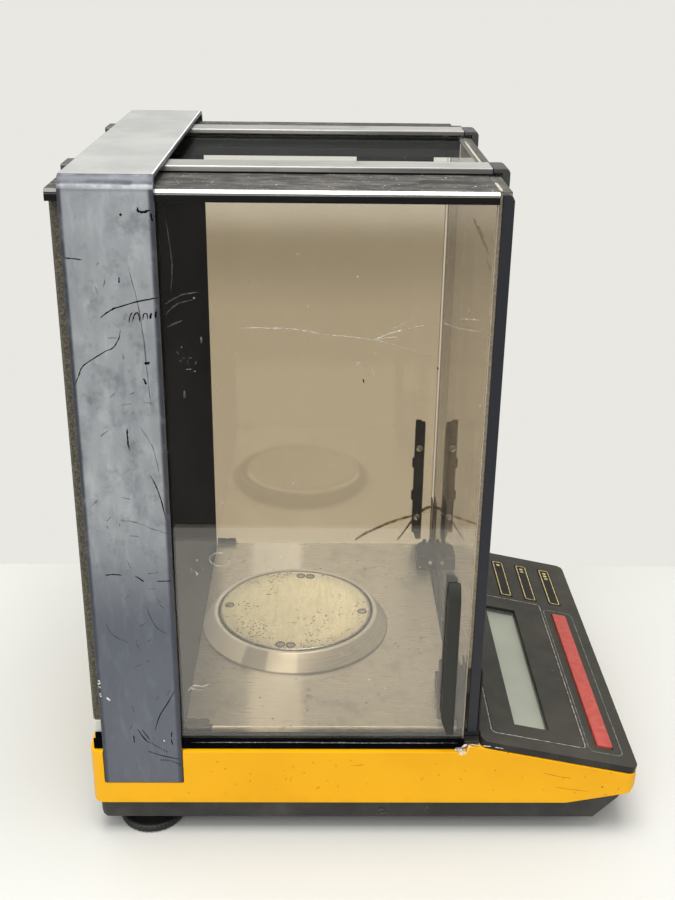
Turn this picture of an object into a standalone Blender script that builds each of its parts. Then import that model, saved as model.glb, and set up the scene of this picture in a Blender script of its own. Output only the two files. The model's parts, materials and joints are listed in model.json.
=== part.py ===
"""Analytical balance with a sliding-door draft shield.

Axes: +X is the user's right, -Y is the front (display side), +Z is up.  The origin is on the
table, under the middle of the footprint.  Two helpers keep the sizes readable: along(u) turns a
distance measured forward from the rear face into Y, and up(h) turns a height above the lower edge
of the coloured housing into Z.
"""
import math

import bmesh
import bpy
from mathutils import Matrix, Vector

MM = 0.001
GAP = 0.3                       # running gap left between neighbouring pieces

# ---- overall ---------------------------------------------------------------------------------
HOUSING_LENGTH = 250.0
HOUSING_HALF_WIDTH = 95.0
HOUSING_BAND_TOP = 28.4         # top of the flat part of the coloured band
HOUSING_WALL = 3.0
FOOT_DROP = 18.6                # table to the lower edge of the coloured band
CORNER_RADIUS = 5.0

# ---- sloping control panel -------------------------------------------------------------------
PANEL_START = 177.0             # rear edge of the slab
PANEL_SLOPE = math.radians(12.0)
PANEL_REAR_TOP = 34.6
PANEL_THICKNESS = 3.4
PANEL_HALF_WIDTH = 94.5
PANEL_LENGTH = (HOUSING_LENGTH - PANEL_START) / math.cos(PANEL_SLOPE)
WEDGE_START = 171.2             # the band steps up here and then slopes down with the slab

# places on the panel: x across, and the distance from the rear face along the slope
KEY_CENTRES = (208.9, 222.8, 236.7)
KEY_HALF_WIDTH = 3.3
KEY_X = (45.0, 84.2)
BAR_X = (-83.2, 32.8)
BAR_U = (232.6, 240.1)
DISPLAY_X = (-77.4, 29.6)
DISPLAY_U = (194.6, 211.0)
BEZEL_X = (-86.0, 41.0)
BEZEL_U = (183.0, 226.6)

# ---- tray under the housing ------------------------------------------------------------------
TRAY_HALF_WIDTH = 92.2
TRAY_DEPTH = 10.4
TRAY_WALL = 2.4

# ---- chamber ---------------------------------------------------------------------------------
CHAMBER_BACK = 42.6             # front face of the rear wall
FLOOR_TOP = 37.8
FLOOR_HALF_WIDTH = 88.6
FLOOR_SHEET = 1.0
FLOOR_FOLD_BOTTOM = 34.5
PANE_BACK = 169.6
PANE_THICKNESS = 4.9
PANE_HALF_WIDTH = 88.3
PANE_BOTTOM = 36.2
PANE_TOP = 279.3
EDGE_BACK = 170.7               # strips on the upright edges of the pane; its rear corner is bare
EDGE_FRONT = 175.2
EDGE_THICKNESS = 1.9
EDGE_TOP = 278.6
CLAMP_BOTTOM = 34.5             # clamps around the lower corners of the pane
CLAMP_TOP = 68.5
CLAMP_LENGTH = 11.5
CLAMP_SKIN = 0.7
SILL_START = 166.5
SILL_END = 175.9
SILL_BOTTOM = 32.8
SILL_TOP = 38.4
GUIDE_TOP = 279.8               # top ledge of the side guides
LIP_BOTTOM = 275.2
DOOR_INNER = 88.9
DOOR_OUTER = 91.5
DOOR_BACK = 30.0
DOOR_FRONT = 169.0
DOOR_BOTTOM = 31.3
DOOR_TOP = 277.4
GUIDE_INNER = 83.0              # inner side of the lower door guides
LID_HALF_WIDTH = 50.8
LID_BOTTOM = 278.3
LID_THICKNESS = 2.0

# ---- strap and rear column -------------------------------------------------------------------
STRAP_BACK = 6.4
STRAP_FRONT = 41.8
STRAP_OUTER = 95.2
STRAP_SHEET = 1.8
STRAP_TOP = 285.2
STRAP_BOTTOM = 11.4
STRAP_BEND = 5.4
COVER_HALF_WIDTH = 88.4
COVER_BACK = 1.6
COVER_TOP = LIP_BOTTOM - GAP
ROOF_TOP = 269.8                # roof of the column, just under the side guides
SHEET = 1.6
NYLON_TOP = 41.0                # nylon blocks at the rear ends of the lower door guides

# ---- sockets in the rear cover ---------------------------------------------------------------
SOCKET_HEIGHT = 58.0
INLET_X = -54.0
INLET_HALF_WIDTH = 14.0
INLET_HALF_HEIGHT = 10.0
DATA_X = 40.0
DATA_HALF_WIDTH = 21.0
DATA_HALF_HEIGHT = 5.5
FUSE_X = -22.0
FUSE_RADIUS = 6.0

# ---- rails on the roof -----------------------------------------------------------------------
RAIL_INNER = 43.5
RAIL_OUTER = 58.2
RAIL_TOP = 282.8
RAIL_UNDERSIDE = 280.6
RAIL_BACK = 0.6
RAIL_FRONT = 170.9
CAP_FRONT = 178.0

# ---- weighing pan and draft ring -------------------------------------------------------------
PAN_CENTRE = 91.0
PAN_RADIUS = 39.0
PAN_TOP = 46.3
RING_OUTER = 47.9
RING_INNER = 40.2
RING_TOP = 46.4
POST_RADIUS = 3.0

# ---- weigh cell ------------------------------------------------------------------------------
FULCRUM = 112.0
FULCRUM_HEIGHT = 8.0
MAGNET_CENTRE = 146.0

# ---- feet ------------------------------------------------------------------------------------
FOOT_POSITION = 24.6
FOOT_OFFSET = 79.5
FOOT_RADIUS = 15.0
FRONT_FOOT_POSITION = 212.0
FRONT_FOOT_OFFSET = 62.0


def along(u):
    return (HOUSING_LENGTH / 2 - u) * MM


def up(h):
    return (FOOT_DROP + h) * MM


def wedge_height(u, drop=0.0):
    """Height of the slab's top plane at u, less a drop measured straight down."""
    return PANEL_REAR_TOP - (u - PANEL_START) * math.tan(PANEL_SLOPE) - drop


# ---- materials -------------------------------------------------------------------------------
PALETTE = {
    "yellow_paint": ((0.93, 0.42, 0.02), 0.38, 0.0),
    "strap_paint": ((0.25, 0.28, 0.32), 0.38, 0.4),
    "black_plastic": ((0.035, 0.035, 0.04), 0.55, 0.0),
    "panel_black": ((0.05, 0.047, 0.042), 0.6, 0.0),
    "textured_brown": ((0.06, 0.055, 0.045), 0.75, 0.0),
    "black_metal": ((0.03, 0.03, 0.034), 0.4, 0.2),
    "rail_grey": ((0.32, 0.32, 0.31), 0.42, 0.5),
    "slate_plastic": ((0.05, 0.055, 0.075), 0.45, 0.0),
    "tinted_glass": ((0.55, 0.47, 0.36), 0.04, 0.0),
    "clear_glass": ((0.85, 0.88, 0.88), 0.03, 0.0),
    "stainless": ((0.55, 0.54, 0.51), 0.3, 1.0),
    "pan_metal": ((0.72, 0.68, 0.58), 0.5, 1.0),
    "lcd_grey": ((0.33, 0.35, 0.31), 0.3, 0.0),
    "key_brown": ((0.06, 0.05, 0.035), 0.5, 0.0),
    "red_plastic": ((0.7, 0.07, 0.06), 0.42, 0.0),
    "rubber": ((0.02, 0.02, 0.02), 0.8, 0.0),
    "nylon": ((0.75, 0.74, 0.7), 0.5, 0.0),
    "aluminium": ((0.6, 0.6, 0.62), 0.35, 1.0),
    "board_green": ((0.03, 0.16, 0.07), 0.5, 0.0),
    "steel": ((0.5, 0.5, 0.5), 0.3, 1.0),
    "copper": ((0.6, 0.3, 0.15), 0.4, 0.9),
}


def make_material(node, palette_name):
    colour, roughness, metallic = PALETTE[palette_name]
    material = bpy.data.materials.new(node + "_" + palette_name)
    material.use_nodes = True
    shader = material.node_tree.nodes["Principled BSDF"]
    shader.inputs["Base Color"].default_value = (*colour, 1.0)
    shader.inputs["Roughness"].default_value = roughness
    shader.inputs["Metallic"].default_value = metallic
    material.diffuse_color = (*colour, 1.0)
    return material


# ---- modelling helpers (all sizes in millimetres) --------------------------------------------
def finish_mesh(name, bm, palette_name=None, smooth=False):
    bmesh.ops.recalc_face_normals(bm, faces=bm.faces)
    mesh = bpy.data.meshes.new(name)
    bm.to_mesh(mesh)
    bm.free()
    if smooth:
        mesh.shade_smooth()
        mesh.set_sharp_from_angle(angle=math.radians(35))
    obj = bpy.data.objects.new(name, mesh)
    bpy.context.scene.collection.objects.link(obj)
    if palette_name:
        mesh.materials.append(make_material(name, palette_name))
    return obj


def prism(name, outline, low, high, to_point, palette_name=None):
    """A closed outline of (a, b) pairs swept from low to high; to_point places (a, b, c)."""
    bm = bmesh.new()
    start = [bm.verts.new(to_point(a, b, low)) for a, b in outline]
    end = [bm.verts.new(to_point(a, b, high)) for a, b in outline]
    bm.faces.new(start)
    bm.faces.new(reversed(end))
    for i in range(len(outline)):
        j = (i + 1) % len(outline)
        bm.faces.new((start[i], end[i], end[j], start[j]))
    return finish_mesh(name, bm, palette_name)


def side_point(u, h, x):
    return (x * MM, along(u), up(h))


def front_point(x, h, u):
    return (x * MM, along(u), up(h))


def plan_point(x, u, h):
    return (x * MM, along(u), up(h))


def local_point(x, y, z):
    return (x * MM, y * MM, z * MM)


def side_prism(name, outline, x0, x1, palette_name=None):
    """Outline in (u, h), swept across the width."""
    return prism(name, outline, x0, x1, side_point, palette_name)


def front_prism(name, outline, u0, u1, palette_name=None):
    """Outline in (x, h), swept along the depth."""
    return prism(name, outline, u0, u1, front_point, palette_name)


def plan_prism(name, outline, h0, h1, palette_name=None):
    """Outline in (x, u), swept upwards."""
    return prism(name, outline, h0, h1, plan_point, palette_name)


def rectangle(a0, a1, b0, b1):
    return [(a0, b0), (a1, b0), (a1, b1), (a0, b1)]


def rounded_rectangle(a0, a1, b0, b1, radius, steps=4):
    """The same rectangle with each corner turned as a quarter circle."""
    corners = [
        (a1 - radius, b1 - radius, 0),
        (a0 + radius, b1 - radius, 90),
        (a0 + radius, b0 + radius, 180),
        (a1 - radius, b0 + radius, 270),
    ]
    points = []
    for ca, cb, start in corners:
        for i in range(steps + 1):
            angle = math.radians(start + 90 * i / steps)
            points.append((ca + radius * math.cos(angle), cb + radius * math.sin(angle)))
    return points


def circle(ca, cb, radius, sides=24):
    step = 2 * math.pi / sides
    return [(ca + radius * math.cos(i * step), cb + radius * math.sin(i * step)) for i in range(sides)]


def mirrored(outline):
    return [(-a, b) for a, b in outline]


def block(name, x0, x1, u0, u1, h0, h1, palette_name=None):
    return plan_prism(name, rectangle(x0, x1, u0, u1), h0, h1, palette_name)


def turned(name, profile, x, u, palette_name=None, sides=40):
    """A closed outline of (radius, height) spun about a vertical axis; radius 0 is a pole."""
    bm = bmesh.new()
    rings = []
    for radius, height in profile:
        if radius == 0:
            rings.append([bm.verts.new((0, 0, height * MM))])
            continue
        points = circle(0, 0, radius, sides)
        rings.append([bm.verts.new((a * MM, b * MM, height * MM)) for a, b in points])
    closed = profile[0][0] > 0 and profile[-1][0] > 0
    pairs = list(zip(rings, rings[1:]))
    if closed:
        pairs.append((rings[-1], rings[0]))
    for lower, upper in pairs:
        for i in range(sides):
            j = (i + 1) % sides
            corners = [lower[i % len(lower)], lower[j % len(lower)]]
            corners += [upper[j % len(upper)], upper[i % len(upper)]]
            unique = list(dict.fromkeys(corners))
            bm.faces.new(unique)
    obj = finish_mesh(name, bm, palette_name, smooth=True)
    obj.location = (x * MM, along(u), up(0))
    return obj


def boolean(target, tool, operation):
    """Cut or join, bake the result into the target and remove the tool."""
    bpy.context.view_layer.update()
    modifier = target.modifiers.new(operation.title(), "BOOLEAN")
    modifier.operation = operation
    modifier.object = tool
    modifier.solver = "EXACT"
    graph = bpy.context.evaluated_depsgraph_get()
    result = bpy.data.meshes.new_from_object(target.evaluated_get(graph))
    old_mesh = target.data
    target.modifiers.clear()
    target.data = result
    result.name = target.name
    bpy.data.meshes.remove(old_mesh)
    tool_mesh = tool.data
    bpy.data.objects.remove(tool)
    bpy.data.meshes.remove(tool_mesh)
    return target


def cut(target, *tools):
    for tool in tools:
        boolean(target, tool, "DIFFERENCE")
    return target


def join(target, *tools):
    for tool in tools:
        boolean(target, tool, "UNION")
    return target


def soften(obj, width, segments=2, angle=50):
    bevel = obj.modifiers.new("Bevel", "BEVEL")
    bevel.width = width * MM
    bevel.segments = segments
    bevel.limit_method = "ANGLE"
    bevel.angle_limit = math.radians(angle)
    return obj


def put_origin(obj, x, u, h):
    """Move the origin to a point without moving the mesh."""
    point = Vector((x * MM, along(u), up(h)))
    obj.data.transform(Matrix.Translation(obj.location - point))
    obj.location = point
    return obj


# ---- base: coloured housing, tray, feet ------------------------------------------------------
def housing_profile(inset=0.0):
    """Side view of the coloured housing; inset moves the upper side and the ends inwards."""
    top = HOUSING_BAND_TOP - inset
    slab_clearance = 3.9 + inset
    return [
        (inset, -inset),
        (inset, top),
        (WEDGE_START - 1.0 + inset, top),
        (WEDGE_START + inset, wedge_height(WEDGE_START, slab_clearance)),
        (HOUSING_LENGTH - inset, wedge_height(HOUSING_LENGTH, slab_clearance)),
        (HOUSING_LENGTH - inset, 9.0 - inset),
        (HOUSING_LENGTH - 3.0 - inset, 5.7 - inset),
        (218.0, -inset),
    ]


def make_base_housing():
    housing = side_prism(
        "base_housing", housing_profile(), -HOUSING_HALF_WIDTH, HOUSING_HALF_WIDTH, "yellow_paint")
    plan = rounded_rectangle(
        -HOUSING_HALF_WIDTH, HOUSING_HALF_WIDTH, 0.0, HOUSING_LENGTH, CORNER_RADIUS)
    boolean(housing, plan_prism("plan", plan, -20, 60), "INTERSECT")
    inner = HOUSING_HALF_WIDTH - HOUSING_WALL
    cut(housing, side_prism("hollow", housing_profile(HOUSING_WALL), -inner, inner))
    # openings in the deck: under the weigh cell, under the column, and under the control panel
    cut(housing, block("cell_opening", -62, 62, 52, 160, 10, 40))
    cut(housing, block("column_opening", -78, 78, 8, 38, 10, 40))
    cut(housing, block("panel_opening", -86, 86, 184, 242, 8, 45))
    # recesses on both sides that take the ends of the strap
    for side in (-1, 1):
        x_pair = sorted((side * (STRAP_OUTER - STRAP_SHEET - GAP), side * 99.0))
        cut(housing, block("strap_recess", *x_pair, STRAP_BACK - GAP, STRAP_FRONT + GAP,
                           STRAP_BOTTOM - GAP, 60))
    return housing


def tray_profile(inset=0.0):
    bottom = -TRAY_DEPTH + inset
    rise = 1.0 if inset else 0.0
    return [
        (2.4 + inset, -GAP + rise),
        (2.4 + inset, bottom + 3.0),
        (3.4 + inset, bottom + 0.9),
        (5.4 + inset, bottom),
        (232.0 - inset / 2, bottom),
        (245.6 - inset, 4.2 + rise - inset / 2),
        (245.6 - inset, 5.0 + rise),
        (218.0, -GAP + rise),
    ]


def make_bottom_pan():
    tray = side_prism("bottom_pan", tray_profile(), -TRAY_HALF_WIDTH, TRAY_HALF_WIDTH, "black_plastic")
    plan = rounded_rectangle(-TRAY_HALF_WIDTH, TRAY_HALF_WIDTH, 2.4, 245.6, 4.0)
    boolean(tray, plan_prism("plan", plan, -20, 20), "INTERSECT")
    inner = TRAY_HALF_WIDTH - TRAY_WALL
    cut(tray, side_prism("hollow", tray_profile(TRAY_WALL), -inner, inner))
    for side in (-1, 1):
        x = side * FOOT_OFFSET
        join(tray, plan_prism("boss", circle(x, FOOT_POSITION, 7.0), -9.4, -2.0))
        cut(tray, plan_prism("foot_hole", circle(x, FOOT_POSITION, 4.3), -14, 4))
    return tray


def make_levelling_foot(name, x):
    """Knurled disc on a threaded stem that screws into the tray."""
    profile = [
        (0, -FOOT_DROP),
        (FOOT_RADIUS - 0.8, -FOOT_DROP),
        (FOOT_RADIUS, -FOOT_DROP + 0.8),
        (FOOT_RADIUS, -FOOT_DROP + 2.8),
        (FOOT_RADIUS - 1.0, -FOOT_DROP + 3.6),
        (FOOT_RADIUS - 3.0, -FOOT_DROP + 2.6),
        (7.0, -FOOT_DROP + 2.6),
        (6.0, -11.4),
        (4.0, -11.2),
        (4.0, -0.8),
        (3.2, 0.0),
        (0, 0.0),
    ]
    return turned(name, profile, x, FOOT_POSITION, "black_plastic")


def make_front_foot(name, x):
    """Plain rubber foot pressed on the underside of the tray."""
    profile = [(0, -FOOT_DROP), (8.0, -FOOT_DROP), (9.0, -FOOT_DROP + 1.0), (7.5, -TRAY_DEPTH - GAP),
               (0, -TRAY_DEPTH - GAP)]
    return turned(name, profile, x, FRONT_FOOT_POSITION, "rubber", 24)


# ---- strap and rear column -------------------------------------------------------------------
def strap_outline():
    """Inverted U of bent sheet, seen from the front."""
    def right_bend(radius, steps=6):
        angles = [math.radians(90 * i / steps) for i in range(steps + 1)]
        return [(STRAP_OUTER - STRAP_BEND + radius * math.cos(angle),
                 STRAP_TOP - STRAP_BEND + radius * math.sin(angle)) for angle in angles]

    right_outer = right_bend(STRAP_BEND)
    right_inner = right_bend(STRAP_BEND - STRAP_SHEET)
    left_outer = mirrored(right_outer)
    left_inner = mirrored(right_inner)
    outline = [(STRAP_OUTER, STRAP_BOTTOM)] + right_outer + left_outer[::-1]
    outline += [(-STRAP_OUTER, STRAP_BOTTOM), (-STRAP_OUTER + STRAP_SHEET, STRAP_BOTTOM)]
    outline += left_inner + right_inner[::-1] + [(STRAP_OUTER - STRAP_SHEET, STRAP_BOTTOM)]
    return outline


def make_rear_cover():
    """Back of the column with its two side walls, one folded sheet with socket cut-outs."""
    outer = COVER_HALF_WIDTH
    inner = outer - SHEET
    front = 41.0
    outline = [
        (-outer, front), (-outer, COVER_BACK + 1), (-outer + 1, COVER_BACK),
        (outer - 1, COVER_BACK), (outer, COVER_BACK + 1), (outer, front), (inner, front),
        (inner, COVER_BACK + SHEET), (-inner, COVER_BACK + SHEET), (-inner, front),
    ]
    cover = plan_prism("rear_cover", outline, HOUSING_BAND_TOP + GAP, COVER_TOP, "textured_brown")
    for x, half_x, half_h in ((INLET_X, INLET_HALF_WIDTH + GAP, INLET_HALF_HEIGHT + GAP),
                              (DATA_X, DATA_HALF_WIDTH + GAP, DATA_HALF_HEIGHT + GAP)):
        cut(cover, block("socket_hole", x - half_x, x + half_x, -2, 6,
                         SOCKET_HEIGHT - half_h, SOCKET_HEIGHT + half_h))
    cut(cover, front_prism("fuse_hole", circle(FUSE_X, SOCKET_HEIGHT, FUSE_RADIUS + GAP, 16), -2, 6))
    for i in range(9):
        h = 200 + i * 7.0
        cut(cover, block("vent", -45, 45, -2, 6, h, h + 2.6))
    cut(cover, block("roof_notch", -RAIL_INNER - 2.2, RAIL_INNER + 2.2, -2, 3.4, ROOF_TOP + 0.1, 290))
    # notches for the door guides and for the nylon blocks at their rear ends
    for side in (-1, 1):
        x_pair = sorted((side * (GUIDE_INNER - GAP), side * 99.0))
        cut(cover, block("guide_notch", *x_pair, -2, 50, 20, FLOOR_FOLD_BOTTOM))
        cut(cover, block("nylon_notch", *x_pair, -2, 6, 30, NYLON_TOP + GAP))
    return cover


def make_rear_wall():
    """Front wall of the column and its roof, one folded sheet."""
    outline = [
        (CHAMBER_BACK, HOUSING_BAND_TOP + GAP), (CHAMBER_BACK, ROOF_TOP), (4.0, ROOF_TOP),
        (4.0, ROOF_TOP - SHEET), (CHAMBER_BACK - SHEET, ROOF_TOP - SHEET),
        (CHAMBER_BACK - SHEET, HOUSING_BAND_TOP + GAP),
    ]
    half = COVER_HALF_WIDTH - SHEET - GAP
    wall = side_prism("rear_wall", outline, -half, half, "black_metal")
    for side in (-1, 1):
        x_pair = sorted((side * (GUIDE_INNER - GAP), side * 99.0))
        cut(wall, block("guide_notch", *x_pair, 30, 50, 20, FLOOR_FOLD_BOTTOM))
    return wall


def make_power_inlet():
    """Recessed mains inlet with three contact blades."""
    half_x, half_h = INLET_HALF_WIDTH, INLET_HALF_HEIGHT
    inlet = front_prism(
        "power_inlet",
        rounded_rectangle(INLET_X - half_x, INLET_X + half_x, SOCKET_HEIGHT - half_h,
                          SOCKET_HEIGHT + half_h, 2.5, 3), 0.6, 22.0, "black_plastic")
    cut(inlet, front_prism(
        "mouth", rounded_rectangle(INLET_X - 11.5, INLET_X + 11.5, SOCKET_HEIGHT - 7.5,
                                   SOCKET_HEIGHT + 7.5, 3.0, 3), -1, 17.0))
    for x, h in ((-7.0, -1.5), (0.0, 2.5), (7.0, -1.5)):
        join(inlet, block("blade", INLET_X + x - 1.0, INLET_X + x + 1.0, 9.0, 19.0,
                          SOCKET_HEIGHT + h - 2.0, SOCKET_HEIGHT + h + 2.0))
    return inlet


def make_data_socket():
    """Shallow D-shaped interface socket."""
    half_x, half_h = DATA_HALF_WIDTH, DATA_HALF_HEIGHT
    body = [(DATA_X - half_x, SOCKET_HEIGHT + half_h), (DATA_X - half_x + 2, SOCKET_HEIGHT - half_h),
            (DATA_X + half_x - 2, SOCKET_HEIGHT - half_h), (DATA_X + half_x, SOCKET_HEIGHT + half_h)]
    mouth = [(DATA_X - half_x + 2, SOCKET_HEIGHT + half_h - 1.4),
             (DATA_X - half_x + 3.4, SOCKET_HEIGHT - half_h + 1.4),
             (DATA_X + half_x - 3.4, SOCKET_HEIGHT - half_h + 1.4),
             (DATA_X + half_x - 2, SOCKET_HEIGHT + half_h - 1.4)]
    socket = front_prism("data_socket", body, 0.8, 12.0, "steel")
    return cut(socket, front_prism("mouth", mouth, -1, 4.0))


def make_fuse_holder():
    holder = front_prism("fuse_holder", circle(FUSE_X, SOCKET_HEIGHT, FUSE_RADIUS, 16), 0.5, 20.0,
                         "black_plastic")
    return cut(holder, block("slot", FUSE_X - 4, FUSE_X + 4, -1, 1.6, SOCKET_HEIGHT - 0.8,
                             SOCKET_HEIGHT + 0.8))


# ---- draft shield ----------------------------------------------------------------------------
def top_guide_outline():
    """Right-hand guide seen from the front: lid groove inside, door groove outside."""
    return [
        (RAIL_INNER, 270.4), (RAIL_INNER + 1.8, 270.4), (RAIL_INNER + 1.8, 276.2), (53.0, 276.2),
        (53.0, 277.7), (87.0, 277.7), (87.0, LIP_BOTTOM), (DOOR_INNER - GAP, LIP_BOTTOM),
        (DOOR_INNER - GAP, 277.7), (DOOR_OUTER + GAP, 277.7), (DOOR_OUTER + GAP, LIP_BOTTOM),
        (92.9, LIP_BOTTOM), (92.9, GUIDE_TOP), (LID_HALF_WIDTH + 0.6, GUIDE_TOP),
        (LID_HALF_WIDTH + 0.6, 278.0), (RAIL_INNER, 278.0),
    ]


def lower_guide_outline():
    bottom = HOUSING_BAND_TOP + GAP
    return [
        (92.9, bottom), (92.9, 33.9), (DOOR_OUTER + GAP, 33.9), (DOOR_OUTER + GAP, 31.0),
        (DOOR_INNER - GAP, 31.0), (DOOR_INNER - GAP, FLOOR_FOLD_BOTTOM - GAP),
        (GUIDE_INNER, FLOOR_FOLD_BOTTOM - GAP), (GUIDE_INNER, bottom),
    ]


def rail_outline():
    foot = LID_HALF_WIDTH + 1.0
    return [
        (RAIL_INNER, RAIL_UNDERSIDE), (foot, RAIL_UNDERSIDE), (foot, GUIDE_TOP + GAP),
        (RAIL_OUTER, GUIDE_TOP + GAP), (RAIL_OUTER, RAIL_TOP - 0.5), (RAIL_OUTER - 0.5, RAIL_TOP),
        (RAIL_INNER + 0.5, RAIL_TOP), (RAIL_INNER, RAIL_TOP - 0.5),
    ]


def rail_cap_outline():
    """Hook at the end of a rail, side view: it drops in front of the pane's upper edge."""
    hook = PANE_BACK + PANE_THICKNESS + GAP
    front = CAP_FRONT
    start = RAIL_FRONT + GAP
    return [
        (start, RAIL_UNDERSIDE), (start, RAIL_TOP), (front - 2.0, RAIL_TOP),
        (front - 0.6, RAIL_TOP - 0.6), (front, RAIL_TOP - 2.0), (front, 275.3), (front - 0.8, 274.5),
        (hook, 274.5), (hook, RAIL_UNDERSIDE),
    ]


def make_side(side, suffix):
    """Everything that exists once on the left and once on the right of the shield."""
    def face(outline):
        return outline if side > 0 else mirrored(outline)

    def span(a, b):
        return sorted((side * a, side * b))

    guide = front_prism("top_guide_" + suffix, face(top_guide_outline()), 1.2, PANE_BACK - GAP,
                        "black_metal")
    join(guide, block("tab", *span(RAIL_INNER, RAIL_INNER + 1.6), 120.0, 157.0, 266.4, 271.0))
    front_prism("lower_guide_" + suffix, face(lower_guide_outline()), 2.0, PANE_BACK - 2 * GAP,
                "black_metal")
    front_prism("rail_" + suffix, face(rail_outline()), RAIL_BACK, RAIL_FRONT, "rail_grey")
    side_prism("rail_cap_" + suffix, rail_cap_outline(), *span(RAIL_INNER, RAIL_OUTER), "black_plastic")
    block("guide_end_" + suffix, *span(83.6, 88.6), 2.0, 5.6, FLOOR_FOLD_BOTTOM, NYLON_TOP, "nylon")
    make_pane_edge(side, suffix)
    make_door(side, suffix)
    make_corner_block(side, suffix)


def make_corner_block(side, suffix):
    """Block in the chamber's front corner; it reaches over the sill to the pane."""
    plan = [(side * x, u) for x, u in ((55.8, 158.8), (71.0, 158.8), (75.5, 161.6),
                                       (75.5, PANE_BACK - GAP), (55.8, PANE_BACK - GAP))]
    corner = plan_prism("corner_block_" + suffix, plan, FLOOR_TOP + GAP, 45.8, "black_plastic")
    return cut(corner, block("over_sill", *sorted((side * 50, side * 80)), SILL_START - GAP, 175, 30,
                             SILL_TOP + GAP))


def make_pane_edge(side, suffix):
    """Plastic strip along the pane's upright edge, and the clamp around the pane's lower corner."""
    def span(a, b):
        return sorted((side * a, side * b))

    inner = PANE_HALF_WIDTH + GAP
    outer = inner + EDGE_THICKNESS
    back = PANE_BACK - 0.2
    bottom = PANE_BOTTOM
    rounded_top = [(EDGE_BACK, bottom), (EDGE_BACK, EDGE_TOP), (EDGE_FRONT - 2.4, EDGE_TOP),
                   (EDGE_FRONT - 0.9, EDGE_TOP - 0.6), (EDGE_FRONT, EDGE_TOP - 2.4), (EDGE_FRONT, bottom)]
    side_prism("pane_edge_" + suffix, rounded_top, *span(inner, outer), "slate_plastic")
    clamp_inner = PANE_HALF_WIDTH - CLAMP_LENGTH
    front = EDGE_FRONT + GAP
    clamp = block("pane_clamp_" + suffix, *span(clamp_inner, outer), front, front + CLAMP_SKIN,
                  CLAMP_BOTTOM, CLAMP_TOP, "black_plastic")
    # the rear leg stays inside the sliding door
    join(clamp, block("rear_leg", *span(clamp_inner, DOOR_INNER - GAP), back - GAP - CLAMP_SKIN, back - GAP,
                      CLAMP_BOTTOM, CLAMP_TOP))
    web_top = PANE_BOTTOM - GAP
    join(clamp, block("web", *span(clamp_inner, DOOR_INNER - GAP), back - GAP - 0.1, front + 0.1,
                      CLAMP_BOTTOM, web_top))
    join(clamp, block("outer_web", *span(DOOR_INNER - 2, outer), back, front + 0.2, CLAMP_BOTTOM, web_top))


def make_door(side, suffix):
    """Sliding glass with an outer pull, an inner backing strip and two screws."""
    def span(a, b):
        return sorted((side * a, side * b))

    name = "door_" + suffix
    block(name + "_glass", *span(DOOR_INNER, DOOR_OUTER), DOOR_BACK, DOOR_FRONT, DOOR_BOTTOM,
          DOOR_TOP, "tinted_glass")
    # the pull's top slants outward, and its rear lower corner is cut off
    section = [(DOOR_OUTER + GAP, 38.8), (96.5, 38.8), (96.5, 107.4), (DOOR_OUTER + GAP, 115.1)]
    pull = front_prism(name + "_pull", [(side * x, h) for x, h in section], 158.1, 163.7, "slate_plastic")
    cut(pull, side_prism("corner", [(157.0, 38.0), (160.8, 38.0), (157.0, 49.5)], *span(90, 99)))
    soften(pull, 0.5, 1)
    strip_outline = [(157.6, 46.0), (162.6, 46.0), (162.6, 114.2), (160.6, 117.2), (157.6, 117.2)]
    strip = side_prism(name + "_strip", strip_outline, *span(86.9, DOOR_INNER - GAP), "black_plastic")
    for h in (67.4, 88.0):
        nib = side_prism("nib", [(156.5, h), (158.2, h - 0.8), (158.2, h + 6.2), (156.5, h + 5.4)],
                         *span(86.9, DOOR_INNER - GAP))
        join(strip, nib)
    for place, h in (("lower", 56.5), ("upper", 100.2)):
        side_prism(name + "_screw_" + place, circle(160.2, h, 1.95, 12), *span(85.2, 86.6), "steel")


def make_floor_plate():
    outer = FLOOR_HALF_WIDTH
    inner = outer - FLOOR_SHEET
    outline = [
        (outer, FLOOR_FOLD_BOTTOM), (outer, FLOOR_TOP), (-outer, FLOOR_TOP), (-outer, FLOOR_FOLD_BOTTOM),
        (-inner, FLOOR_FOLD_BOTTOM), (-inner, FLOOR_TOP - FLOOR_SHEET), (inner, FLOOR_TOP - FLOOR_SHEET),
        (inner, FLOOR_FOLD_BOTTOM),
    ]
    plate = front_prism("floor_plate", outline, CHAMBER_BACK + GAP, SILL_START - GAP, "stainless")
    return cut(plate, plan_prism("hole", circle(0, PAN_CENTRE, 5.5), 30, 45))


def make_pane_sill():
    """Black bar across the front that carries the pane in a groove."""
    groove0 = PANE_BACK - GAP
    groove1 = PANE_BACK + PANE_THICKNESS + GAP
    groove_floor = PANE_BOTTOM - GAP
    outline = [
        (SILL_START, SILL_BOTTOM), (SILL_START, SILL_TOP), (groove0, SILL_TOP), (groove0, groove_floor),
        (groove1, groove_floor), (groove1, SILL_TOP), (SILL_END, SILL_TOP - 2.4), (SILL_END, SILL_BOTTOM),
    ]
    half = HOUSING_HALF_WIDTH - 0.5
    sill = side_prism("pane_sill", outline, -half, half, "black_plastic")
    clamp_inner = PANE_HALF_WIDTH - CLAMP_LENGTH - GAP
    for side in (-1, 1):
        # pockets for the pane's clamps, and notches for the sliding doors
        x_pair = sorted((side * clamp_inner, side * 99.0))
        cut(sill, block("clamp_pocket", *x_pair, groove0 - CLAMP_SKIN - 2 * GAP, 180.0,
                        CLAMP_BOTTOM - GAP, 45))
        x_pair = sorted((side * (GUIDE_INNER - GAP), side * 99.0))
        cut(sill, block("door_notch", *x_pair, 160.0, groove0, 25, 45))
    return sill


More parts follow.
